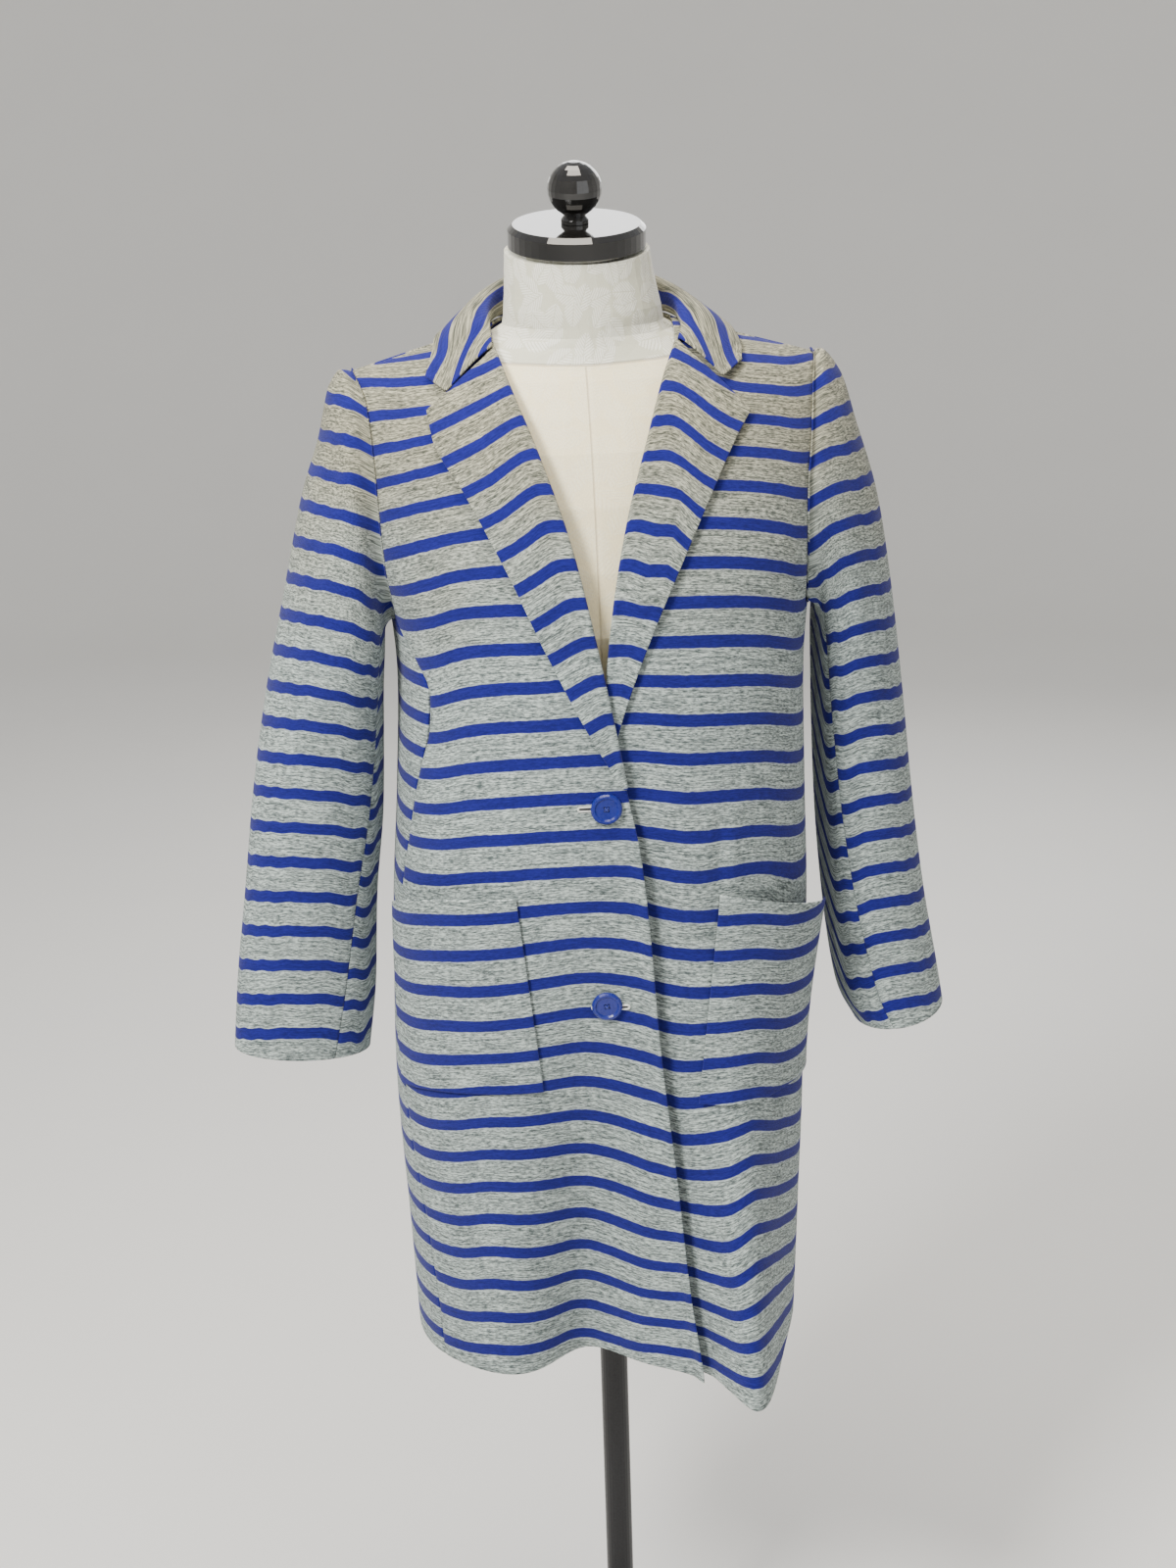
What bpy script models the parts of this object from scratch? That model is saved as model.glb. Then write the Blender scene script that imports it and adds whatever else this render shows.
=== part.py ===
"""A long striped knit blazer, buttoned once over itself, on a limbless dress form with a pole stand.

Metres, +Z up. The coat faces -Y, and the wearer's right side is at -X. The origin is the middle of the
base's underside. The cloth is a thin wall round the hollow that the form fills only in part.
"""

import math

import bpy
import numpy as np
from mathutils import Vector

# The cloth.
WALL = 0.002  # thickness of the double knit
SEAM_GAP = 0.0003  # between two sewn pieces
ARMHOLE_GAP = 0.0006  # between a sleeve and the armhole

# Heights of the coat.
HEM_HEIGHT = 0.491
UNDERARM_HEIGHT = 1.155
TIP_HEIGHT = 1.348
SHOULDER_TIP_X = 0.185
SHOULDER_SLOPE = 0.28
NECK_POINT_X = 0.074
BACK_NECK_RISE = 0.006
BACK_NECK_DEPTH = 0.062
SHOULDER_LINE_Y = 0.004
SHOULDER_ROUNDNESS = 2.0
SECTION_SQUARENESS = 2.4

# The coat's outer face, as sections across it. Depths run from the plane Y = 0.
BODY = {
    "height": (0.45, 0.60, 0.73, 0.89, 1.00, 1.10, 1.155, 1.20, 1.25, 1.30, 1.35),
    "centre": (-0.006, -0.005, -0.005, -0.0005, 0.003, 0.0055, 0.006, 0.005, 0.004, 0.002, 0.000),
    "half_width": (0.170, 0.175, 0.179, 0.1775, 0.172, 0.1685, 0.172, 0.183, 0.190, 0.194, 0.198),
    "front": (0.122, 0.124, 0.130, 0.136, 0.138, 0.137, 0.134, 0.134, 0.134, 0.134, 0.134),
    "back": (0.140, 0.137, 0.133, 0.124, 0.118, 0.116, 0.118, 0.121, 0.124, 0.126, 0.128),
}

# Folds that fall from the chest and deepen to the hem. Places are X at the fold's top and at the hem.
FOLDS = (
    {"top_x": -0.100, "hem_x": -0.110, "half_width": 0.045,
     "depth": 0.006, "from_height": 0.95, "hem_drop": 0.0},
    {"top_x": -0.020, "hem_x": -0.030, "half_width": 0.040,
     "depth": -0.044, "from_height": 1.00, "hem_drop": 0.0},
    {"top_x": 0.040, "hem_x": 0.062, "half_width": 0.028,
     "depth": 0.010, "from_height": 0.90, "hem_drop": 0.0},
    {"top_x": 0.104, "hem_x": 0.112, "half_width": 0.036,
     "depth": 0.100, "from_height": 0.92, "hem_drop": 0.010},
)
FOLD_GROWTH = 1.7
BACK_FOLDS = (
    {"top_x": -0.080, "hem_x": -0.100, "half_width": 0.045,
     "depth": 0.016, "from_height": 0.95, "hem_drop": 0.0},
    {"top_x": 0.000, "hem_x": -0.005, "half_width": 0.045,
     "depth": -0.014, "from_height": 0.98, "hem_drop": 0.0},
    {"top_x": 0.075, "hem_x": 0.085, "half_width": 0.045,
     "depth": 0.018, "from_height": 0.92, "hem_drop": 0.0},
)

# Side seams: the angle round the section from the centre front, for each side.
SIDE_SEAM = {
    "height": (0.480, 0.540, 0.590, 0.650, 0.690, 0.750, 0.850, 0.930, 0.970, 1.000, 1.040, 1.070, 1.105,
               1.130, 1.155),
    "right": (59.0, 60.4, 62.7, 66.0, 69.8, 73.0, 76.0, 74.0, 70.0, 67.0, 62.0, 58.0, 57.0, 65.0, 78.0),
    "left": (78.0, 78.0, 79.0, 80.0, 80.0, 80.0, 80.0, 80.0, 80.0, 80.0, 80.0, 79.0, 77.0, 74.5, 71.4),
}

# The armhole from the underarm (rise 0) to the shoulder tip (rise 1): in front its distance from the
# middle plane, and behind its angle round the section.
ARMHOLE_FRONT = {
    "rise": (0.0, 0.08, 0.20, 0.35, 0.50, 0.64, 0.75, 0.86, 0.93, 1.0),
    "right": (0.1629, 0.1645, 0.1680, 0.1700, 0.1712, 0.1722, 0.1733, 0.1752, 0.1788, 0.1850),
    "left": (0.1705, 0.1695, 0.1684, 0.1681, 0.1690, 0.1733, 0.1762, 0.1790, 0.1815, 0.1850),
}
ARMHOLE_BACK = {
    "rise": (0.07, 0.25, 0.50, 0.75, 0.93),
    "right": (91.0, 107.0, 116.0, 117.0, 115.0),
    "left": (92.0, 108.0, 116.0, 117.0, 115.0),
}

# Inner edge of each front in the front view: neck, roll line, break, and then the front edge or the
# covered edge down to the hem.
FRONT_EDGE = {
    "right": {
        "height": (0.440, 0.495, 0.567, 0.681, 0.811, 0.909, 0.978, 1.028, 1.068, 1.132, 1.192, 1.248, 1.295,
                   1.338, 1.365, 1.400),
        "x": (0.0690, 0.0655, 0.0562, 0.0455, 0.0326, 0.0261, 0.0195, 0.0109, 0.0053, -0.0085, -0.0187,
              -0.0346, -0.0490, -0.0651, -0.0740, -0.0760),
    },
    "left": {
        "height": (0.440, 0.494, 0.700, 0.850, 0.985, 1.050, 1.125, 1.186, 1.248, 1.295, 1.337, 1.366, 1.400),
        "x": (0.0000, 0.0000, -0.0120, -0.0180, -0.0160, -0.0070, 0.0003, 0.0076, 0.0215, 0.0371, 0.0532,
              0.0689, 0.0740),
    },
}
OVERLAP_INSET = 0.0070  # how far the covered front lies behind the one on top
OVERLAP_FADE = 0.050

# Lapels in the front view, from the gorge down to the break.
LAPEL = {
    "right": {
        "down": (0.0, 0.07, 0.2, 0.4, 0.6, 0.8, 1.0),
        "roll_x": (-0.0740, -0.0661, -0.0497, -0.0285, -0.0138, -0.0013, 0.0105),
        "roll_z": (1.3648, 1.3413, 1.2975, 1.2300, 1.1630, 1.0957, 1.0284),
        "edge_x": (-0.1270, -0.1235, -0.1017, -0.0728, -0.0479, -0.0211, 0.0098),
        "edge_z": (1.3234, 1.3030, 1.2645, 1.2057, 1.1468, 1.0880, 1.0291),
        "notch_x": -0.1113,
        "notch_z": 1.3350,
        "corner_x": -0.1261,
        "corner_z": 1.3450,
        "lift": 0.0052,
    },
    "left": {
        "down": (0.0, 0.07, 0.2, 0.4, 0.6, 0.8, 1.0),
        "roll_x": (0.0689, 0.0562, 0.0398, 0.0191, 0.0062, -0.0010, -0.0055),
        "roll_z": (1.3656, 1.3435, 1.3025, 1.2394, 1.1762, 1.1131, 1.0500),
        "edge_x": (0.1200, 0.1054, 0.0845, 0.0568, 0.0323, 0.0125, -0.0035),
        "edge_z": (1.3149, 1.2961, 1.2611, 1.2073, 1.1536, 1.0998, 1.0460),
        "notch_x": 0.1001,
        "notch_z": 1.3376,
        "corner_x": 0.1172,
        "corner_z": 1.3475,
        "lift": 0.0050,
    },
}
LAPEL_GAP = 0.0019
LAPEL_START = 0.02  # of the way across, just off the roll
LAPEL_END = 0.985  # of the way down to the break

# The collar: its seam to the neckline, its roll and its outer edge, from the centre back to an end.
COLLAR = {
    "along": (0.0, 0.25, 0.5, 0.7, 0.85),
    "seam": ((0, 0.0655, 1.3862), (0.038, 0.0568, 1.3846), (0.064, 0.0350, 1.3820), (0.0745, -0.0050, 1.3796),
             (0.0750, -0.0260, 1.3745)),
    "roll": ((0, 0.080, 1.418), (0.042, 0.068, 1.414), (0.067, 0.034, 1.403), (0.0745, -0.003, 1.390),
             (0.0745, -0.026, 1.380)),
    "edge": ((0, 0.101, 1.377), (0.057, 0.089, 1.376), (0.100, 0.050, 1.375), (0.117, 0.006, 1.373),
             (0.122, -0.026, 1.362)),
}
COLLAR_END = 0.994  # of the way along to the gorge
COLLAR_NOTCH = 0.72  # where the notch lies between the roll and the corner
COLLAR_BULGE = 0.0065
COLLAR_STAND_PARTS = (0.0, 0.5, 1.0)
COLLAR_FALL_PARTS = (0.12, 0.38, 0.72, 1.0)
COLLAR_END_LIFT = {"seam": 0.0012, "roll": 0.0068, "edge": 0.0060}

# Patch pockets: the level of the mouth and of the bottom at the side and at the inner edge.
POCKET = {
    "right": {
        "mouth_x": -0.0792, "bottom_x": -0.0640, "gape": 0.011, "side_gape": 0.005,
        "mouth_z": 0.9417, "mouth_side_z": 0.9130, "mouth_bow": 2.4,
        "bottom_z": 0.7684, "bottom_side_z": 0.7480, "bottom_bow": 1.6,
    },
    "left": {
        "mouth_x": 0.0854, "bottom_x": 0.0660, "gape": 0.010, "side_gape": 0.012,
        "mouth_z": 0.9330, "mouth_side_z": 0.8880, "mouth_bow": 1.0,
        "bottom_z": 0.7504, "bottom_side_z": 0.7334, "bottom_bow": 1.0,
    },
}
POCKET_GAP = 0.0013

# Sleeves: rings between an outer and an inner line, X as a distance from the middle plane.
SLEEVE = {
    "right": {
        "outer_x": (0.185, 0.194, 0.2035, 0.2155, 0.2301, 0.2507, 0.2712, 0.2881, 0.3014, 0.3140, 0.3205),
        "outer_y": (0.004, 0.004, 0.003, 0.002, 0.000, -0.003, -0.006, -0.010, -0.015, -0.020, -0.025),
        "outer_z": (1.348, 1.349, 1.338, 1.295, 1.255, 1.175, 1.093, 1.0085, 0.9213, 0.8400, 0.7830),
        "inner_x": (0.162, 0.167, 0.170, 0.171, 0.172, 0.1745, 0.177, 0.181, 0.191, 0.197, 0.2055),
        "inner_y": (-0.042, -0.039, -0.035, -0.030, -0.025, -0.018, -0.010, -0.004, 0.000, 0.000, -0.003),
        "inner_z": (1.155, 1.151, 1.145, 1.136, 1.124, 1.096, 1.050, 0.985, 0.904, 0.823, 0.765),
        "depth": (0.086, 0.084, 0.080, 0.074, 0.068, 0.060, 0.052, 0.045, 0.040, 0.036, 0.034),
        "front_seam": (150.0, 150.0, 150.0, 151.0, 152.0, 154.0, 150.0, 142.0, 133.0, 124.0, 119.0),
    },
    "left": {
        "outer_x": (0.185, 0.193, 0.2083, 0.2220, 0.2400, 0.2545, 0.2655, 0.2750, 0.2865, 0.3000, 0.3040),
        "outer_y": (0.004, 0.006, 0.008, 0.010, 0.014, 0.018, 0.020, 0.020, 0.018, 0.012, 0.008),
        "outer_z": (1.348, 1.349, 1.3316, 1.290, 1.2316, 1.148, 1.062, 0.9733, 0.8817, 0.8000, 0.7710),
        "inner_x": (0.1705, 0.177, 0.181, 0.183, 0.184, 0.1855, 0.187, 0.190, 0.197, 0.2085, 0.2230),
        "inner_y": (-0.030, -0.026, -0.020, -0.012, -0.004, 0.002, 0.008, 0.010, 0.008, 0.000, -0.004),
        "inner_z": (1.155, 1.151, 1.145, 1.136, 1.122, 1.085, 1.035, 0.958, 0.868, 0.790, 0.760),
        "depth": (0.080, 0.078, 0.074, 0.070, 0.064, 0.058, 0.053, 0.050, 0.048, 0.047, 0.047),
        "front_seam": (150.0, 150.0, 150.0, 149.0, 147.0, 143.0, 137.0, 129.0, 120.0, 112.0, 110.0),
    },
}
BACK_SEAM_TURN = 150.0
SLEEVE_TURN_STEP = 15.0
SLEEVE_BLEND_RINGS = 5.0
SLEEVE_RINGS = 14

# Buttons.
BUTTON_RADIUS = 0.0125
BUTTON_THICKNESS = 0.0042
BUTTON_HOLE_RADIUS = 0.0011
BUTTON_HOLE_SPREAD = 0.0020
BUTTON_GAP = 0.0007
BUTTONS = (
    {"name": "button_upper", "x": -0.0057, "z": 1.0173},
    {"name": "button_lower", "x": -0.0088, "z": 0.8440},
)

# The dress form, its neck cap and its stand.
FORM = {
    "height": (0.700, 0.760, 0.860, 0.980, 1.060, 1.140, 1.220, 1.290, 1.330, 1.342, 1.350, 1.358, 1.366,
               1.373, 1.380, 1.392, 1.405, 1.420, 1.436),
    "half_width": (0.138, 0.150, 0.146, 0.118, 0.124, 0.136, 0.142, 0.150, 0.157, 0.158, 0.155, 0.1366,
                   0.1082, 0.0775, 0.0645, 0.0628, 0.0608, 0.0590, 0.0575),
    "front": (0.090, 0.098, 0.096, 0.088, 0.104, 0.118, 0.109, 0.091, 0.0730, 0.0670, 0.0620, 0.0580,
              0.0550, 0.0535, 0.0530, 0.0528, 0.0526, 0.0523, 0.0520),
    "back": (0.098, 0.112, 0.104, 0.082, 0.086, 0.094, 0.098, 0.096, 0.0880, 0.0840, 0.0800, 0.0760,
             0.0720, 0.0670, 0.0620, 0.0580, 0.0560, 0.0540, 0.0530),
    "squareness": (2.2, 2.2, 2.2, 2.2, 2.2, 2.2, 2.2, 2.1, 1.8, 1.65, 1.55, 1.5,
                   1.5, 1.6, 1.8, 2.0, 2.0, 2.0, 2.0),
}
FORM_HEIGHTS = (
    0.700, 0.715, 0.750, 0.800, 0.850, 0.900, 0.950, 1.000, 1.050, 1.100, 1.150, 1.200, 1.250, 1.290,
    1.315, 1.330, 1.342, 1.350, 1.358, 1.366, 1.373, 1.380, 1.386, 1.392, 1.405, 1.420, 1.436,
)
FORM_SIDES = 40
FORM_ROOM = 0.0045  # between the form and the coat's outer face, level and upright
NECK_SHIFT_X = -0.003
NECK_TILT = math.radians(8.0)
CAP_RADIUS = 0.0545
CAP_THICKNESS = 0.020
BALL_RADIUS = 0.0213
BALL_HEIGHT = 0.0262  # of the ball's middle over the cap's top
BALL_X = -0.004
POLE_RADIUS = 0.0125
BASE_RADIUS = 0.170
BASE_HEIGHT = 0.026

SIDES = {"right": -1.0, "left": 1.0}

# Rows and columns of the pieces.
BODY_ROWS = 15
FRONT_COLUMNS = 14
BACK_COLUMNS = 18
LAPEL_ROWS = 14
LAPEL_COLUMNS = 5
COLLAR_COLUMNS = 28
POCKET_ROWS = 8
POCKET_COLUMNS = 9


# ---------------------------------------------------------------- numbers


def smooth(table_keys, values, key):
    """A smooth curve through a table's values, which never overshoots them."""
    keys = np.asarray(table_keys, float)
    values = np.asarray(values, float)
    slopes = np.diff(values) / np.diff(keys)
    tangents = np.zeros(len(keys))
    tangents[0] = slopes[0]
    tangents[-1] = slopes[-1]
    for i in range(1, len(keys) - 1):
        if slopes[i - 1] * slopes[i] > 0:
            tangents[i] = 2 * slopes[i - 1] * slopes[i] / (slopes[i - 1] + slopes[i])
    key = min(max(key, keys[0]), keys[-1])
    i = min(int(np.searchsorted(keys, key, side="right")) - 1, len(keys) - 2)
    span = keys[i + 1] - keys[i]
    t = (key - keys[i]) / span
    start = (1 + 2 * t) * (1 - t) ** 2 * values[i] + t * (1 - t) ** 2 * span * tangents[i]
    end = t * t * (3 - 2 * t) * values[i + 1] - t * t * (1 - t) * span * tangents[i + 1]
    return start + end


def ease(value):
    """0 below 0, 1 above 1, and a smooth step between."""
    value = min(max(value, 0.0), 1.0)
    return value * value * (3 - 2 * value)


def unit(vector):
    return vector / max(np.linalg.norm(vector), 1e-9)


# ---------------------------------------------------------------- the coat's outer face


def body(name, height):
    return smooth(BODY["height"], BODY[name], height)


def shoulder_height(x):
    """Height of the shoulder seam, and of the neckline between the two neck points, over X."""
    reach = abs(x)
    if reach >= NECK_POINT_X:
        return TIP_HEIGHT + (SHOULDER_TIP_X - reach) * SHOULDER_SLOPE
    neck_point = TIP_HEIGHT + (SHOULDER_TIP_X - NECK_POINT_X) * SHOULDER_SLOPE
    return neck_point + BACK_NECK_RISE * (1 - (reach / NECK_POINT_X) ** 2)


def ridge_y(x, is_back):
    """Y of the shoulder seam or, at the back between the neck points, of the neckline."""
    reach = min(abs(x) / NECK_POINT_X, 1.0)
    if not is_back:
        return SHOULDER_LINE_Y
    return SHOULDER_LINE_Y + BACK_NECK_DEPTH * math.sqrt(1 - reach * reach)


def fold_depth(folds, x, height):
    """How far the folds push the cloth out at this X and height."""
    total = 0.0
    for fold in folds:
        drop = (fold["from_height"] - height) / (fold["from_height"] - HEM_HEIGHT)
        drop = min(max(drop, 0.0), 1.15)
        middle = fold["top_x"] + (fold["hem_x"] - fold["top_x"]) * drop
        total += fold["depth"] * drop**FOLD_GROWTH * math.exp(-(((x - middle) / fold["half_width"]) ** 2))
    return total


def hem_dip(x):
    """How far below its own height the front hem hangs where a fold falls over X."""
    dip = 0.0
    for fold in FOLDS:
        dip += fold["hem_drop"] * math.exp(-(((x - fold["hem_x"]) / fold["half_width"]) ** 2))
    return dip


def coat_point(angle, level):
    """A point on the outer face. The angle is 0 at the centre front, 180 at the centre back, and
    negative on the wearer's right. Above the underarm the level is scaled up to the shoulder."""
    turn = math.radians(angle)
    side, facing = math.sin(turn), math.cos(turn)
    is_back = facing < 0
    power = 2 / SECTION_SQUARENESS
    x = body("centre", level) + body("half_width", level) * math.copysign(abs(side) ** power, side)
    depth = body("back" if is_back else "front", level) * abs(facing) ** power
    depth += fold_depth(BACK_FOLDS if is_back else FOLDS, x, level) * abs(facing)
    y = depth if is_back else -depth
    z = level
    rise = (level - UNDERARM_HEIGHT) / (TIP_HEIGHT - UNDERARM_HEIGHT)
    if rise > 0:
        ridge = ridge_y(x, is_back)
        z = UNDERARM_HEIGHT + rise * (shoulder_height(x) - UNDERARM_HEIGHT)
        y = ridge + (y - ridge) * max(1 - rise**SHOULDER_ROUNDNESS, 0.0) ** (1 / SHOULDER_ROUNDNESS)
    return np.array((x, y, z))


def coat_normal(angle, level):
    """The outward direction at a point of the outer face."""
    step_angle, step_level = 0.4, 0.0006
    top = min(level + step_level, TIP_HEIGHT - 0.0002)
    along = coat_point(angle, top) - coat_point(angle, top - 2 * step_level)
    round_it = coat_point(angle + step_angle, level) - coat_point(angle - step_angle, level)
    if level > TIP_HEIGHT - step_level:
        x = coat_point(angle, level)[0]
        slope = SHOULDER_SLOPE * min(max(x / NECK_POINT_X, -1.0), 1.0)
        return unit(np.array((slope, 0.0, 1.0)))
    return unit(np.cross(round_it, along))


def angle_at(x, level):
    """The angle on the front at which the outer face has this X."""
    share = (x - body("centre", level)) / body("half_width", level)
    share = min(max(share, -0.999), 0.999)
    return math.degrees(math.asin(math.copysign(abs(share) ** (SECTION_SQUARENESS / 2), share)))


def level_at(x, height):
    """The level whose point over X has this real height."""
    if height <= UNDERARM_HEIGHT:
        return height
    rise = (height - UNDERARM_HEIGHT) / (shoulder_height(x) - UNDERARM_HEIGHT)
    return UNDERARM_HEIGHT + min(rise, 1.0) * (TIP_HEIGHT - UNDERARM_HEIGHT)


def edge_x(side, level):
    """X of a front's inner edge at a level."""
    table = FRONT_EDGE[side]
    x = smooth(table["height"], table["x"], level)
    for _ in range(4):
        rise = max((level - UNDERARM_HEIGHT) / (TIP_HEIGHT - UNDERARM_HEIGHT), 0.0)
        height = level if rise == 0 else UNDERARM_HEIGHT + rise * (shoulder_height(x) - UNDERARM_HEIGHT)
        x = smooth(table["height"], table["x"], height)
    return x


def overlap_inset(x, level):
    """How far back the wearer's left front lies where the right front covers it."""
    past_edge = (x - edge_x("right", level)) / OVERLAP_FADE
    return OVERLAP_INSET * (1 - ease(past_edge)) * (1 - ease((level - 1.10) / 0.10))


def on_front(side, x, height, out=0.0):
    """A point over the front, moved out from its outer face."""
    level = level_at(x, height)
    angle = angle_at(x, level)
    if side == "left":
        out -= overlap_inset(x, level)
    return coat_point(angle, level) + out * coat_normal(angle, level)


# ---------------------------------------------------------------- armholes and sleeves


def armhole_angle(side, rise, is_back):
    """Angle round the section of the armhole, without its sign."""
    def in_front(share):
        level = UNDERARM_HEIGHT + share * (TIP_HEIGHT - UNDERARM_HEIGHT)
        reach = smooth(ARMHOLE_FRONT["rise"], ARMHOLE_FRONT[side], share)
        return abs(angle_at(SIDES[side] * reach, level))

    if not is_back:
        return in_front(rise)
    rises = (0.0, *ARMHOLE_BACK["rise"], 1.0)
    angles = (in_front(0.0), *ARMHOLE_BACK[side], 180 - in_front(1.0))
    return smooth(rises, angles, rise)


def armhole_point(side, turn):
    """(angle, level) on the coat of the armhole at a turn: 0 at the shoulder tip, 90 in front, 180 at
    the underarm and 270 behind."""
    rise = (1 + math.cos(math.radians(turn))) / 2
    is_back = turn % 360 > 180
    angle = armhole_angle(side, rise, is_back)
    return SIDES[side] * angle, UNDERARM_HEIGHT + rise * (TIP_HEIGHT - UNDERARM_HEIGHT)


def sleeve_row(side, name, ring):
    table = SLEEVE[side][name]
    return smooth(range(len(table)), table, ring)


def sleeve_end(side, end, ring):
    """The outermost or innermost point of a ring."""
    x, y, z = (sleeve_row(side, f"{end}_{axis}", ring) for axis in "xyz")
    return np.array((SIDES[side] * x, y, z))


def sleeve_oval(side, ring, turn):
    """A point of the oval between a ring's two ends. Rings are numbered as the rows of the table."""
    outer, inner = sleeve_end(side, "outer", ring), sleeve_end(side, "inner", ring)
    depth = sleeve_row(side, "depth", ring)
    cosine, sine = math.cos(math.radians(turn)), math.sin(math.radians(turn))
    return (outer + inner) / 2 + (outer - inner) / 2 * cosine + np.array((0.0, -depth * sine, 0.0))


def sleeve_point(side, ring, turn):
    """A point on the sleeve's outer face, which runs from the armhole's own shape into plain ovals."""
    point = sleeve_oval(side, ring, turn)
    left_over = 1 - ease(ring / SLEEVE_BLEND_RINGS)
    if left_over > 0:
        armhole = coat_point(*armhole_point(side, turn))
        point = point + left_over * (armhole - sleeve_oval(side, 0.0, turn))
    return point


def sleeve_normal(side, ring, turn):
    along = sleeve_point(side, ring + 0.15, turn) - sleeve_point(side, max(ring - 0.15, 0.0), turn)
    round_it = sleeve_point(side, ring, turn + 1.0) - sleeve_point(side, ring, turn - 1.0)
    return unit(np.cross(round_it, along)) * SIDES[side]


def armhole_inward(side, turn):
    """The way both walls run inwards at the armhole seam, halfway between theirs."""
    return -unit(coat_normal(*armhole_point(side, turn)) + sleeve_normal(side, 0.0, turn))


def panel_turns(is_back):
    """The armhole's turns that the body's panels share with the sleeve, from the tip to the underarm."""
    steps = round(180 / SLEEVE_TURN_STEP)
    turns = [SLEEVE_TURN_STEP * i for i in range(steps + 1)]
    return [360 - turn for turn in turns] if is_back else turns


def sleeve_turn(side, piece, share, ring):
    """The turn at a share of the way across one of the sleeve's two pieces."""
    front = sleeve_row(side, "front_seam", ring)
    if piece == "upper":
        return -BACK_SEAM_TURN + share * (front + BACK_SEAM_TURN)
    return front + share * (360 - BACK_SEAM_TURN - front)


# ---------------------------------------------------------------- making meshes


def mesh_object(name, points, faces, look, sharp_degrees=50.0):
    """A named object of its own material. The look is (colour, roughness, metallic)."""
    colour, roughness, metallic = look
    surface = bpy.data.materials.new(name)
    surface.use_nodes = True
    surface.diffuse_color = (*colour, 1.0)
    shader = surface.node_tree.nodes["Principled BSDF"]
    shader.inputs["Base Color"].default_value = (*colour, 1.0)
    shader.inputs["Roughness"].default_value = roughness
    shader.inputs["Metallic"].default_value = metallic
    mesh = bpy.data.meshes.new(name)
    mesh.from_pydata([tuple(point) for point in points], [], faces)
    mesh.update()
    mesh.shade_smooth()
    mesh.set_sharp_from_angle(angle=math.radians(sharp_degrees))
    mesh.materials.append(surface)
    made = bpy.data.objects.new(name, mesh)
    bpy.context.scene.collection.objects.link(made)
    return made


def wall(name, outer, inner, look, flip=False):
    """A closed sheet of cloth between two grids of points, outer and inner, of the same size."""
    rows, columns = len(outer), len(outer[0])
    points = [point for grid in (outer, inner) for row in grid for point in row]
    count = rows * columns

    def at(layer, row, column):
        return layer * count + row * columns + column

    faces = []
    for row in range(rows - 1):
        for column in range(columns - 1):
            corners = ((row, column), (row, column + 1), (row + 1, column + 1), (row + 1, column))
            faces.append([at(0, *corner) for corner in corners])
            faces.append([at(1, *corner) for corner in reversed(corners)])
    rim = [(0, column) for column in range(columns)]
    rim += [(row, columns - 1) for row in range(1, rows)]
    rim += [(rows - 1, column) for column in range(columns - 2, -1, -1)]
    rim += [(row, 0) for row in range(rows - 2, 0, -1)]
    for here, there in zip(rim, rim[1:] + rim[:1]):
        # The split runs down from the higher outer point, so that two edges along one seam stay parallel.
        if points[at(0, *here)][2] >= points[at(0, *there)][2]:
            faces.append([at(0, *there), at(0, *here), at(1, *there)])
            faces.append([at(0, *here), at(1, *here), at(1, *there)])
        else:
            faces.append([at(0, *there), at(0, *here), at(1, *here)])
            faces.append([at(0, *there), at(1, *here), at(1, *there)])
    if flip:
        faces = [face[::-1] for face in faces]
    return mesh_object(name, points, faces, look)


def turned(name, profile, look, sides=32):
    """A solid of revolution about Z. The profile is (radius, height) from the bottom axis to the top."""
    points = []
    rings = []
    for radius, height in profile:
        if radius == 0:
            rings.append([len(points)])
            points.append((0.0, 0.0, height))
            continue
        rings.append(list(range(len(points), len(points) + sides)))
        for i in range(sides):
            turn = 2 * math.pi * i / sides
            points.append((radius * math.cos(turn), radius * math.sin(turn), height))
    faces = []
    for low, high in zip(rings, rings[1:]):
        for i in range(sides):
            j = (i + 1) % sides
            if len(low) == 1:
                faces.append([low[0], high[j], high[i]])
            elif len(high) == 1:
                faces.append([low[i], low[j], high[0]])
            else:
                faces.append([low[i], low[j], high[j], high[i]])
    return mesh_object(name, points, faces, look, 35.0)


# ---------------------------------------------------------------- the coat's pieces


def body_rows(is_back):
    """(turn of the armhole or None, level) of each row of a body panel, from the shoulder to the hem."""
    rows = [(turn, armhole_point("right", turn)[1]) for turn in panel_turns(is_back)]
    for i in range(1, BODY_ROWS + 1):
        rows.append((None, UNDERARM_HEIGHT + (HEM_HEIGHT - UNDERARM_HEIGHT) * i / BODY_ROWS))
    return rows


def seam_angle(side, level, is_back):
    """Angle of a panel's side edge, half the seam's gap away from the seam."""
    half_gap = math.degrees(SEAM_GAP / body("half_width", level))
    angle = smooth(SIDE_SEAM["height"], SIDE_SEAM[side], level)
    return angle + half_gap if is_back else angle - half_gap


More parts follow.
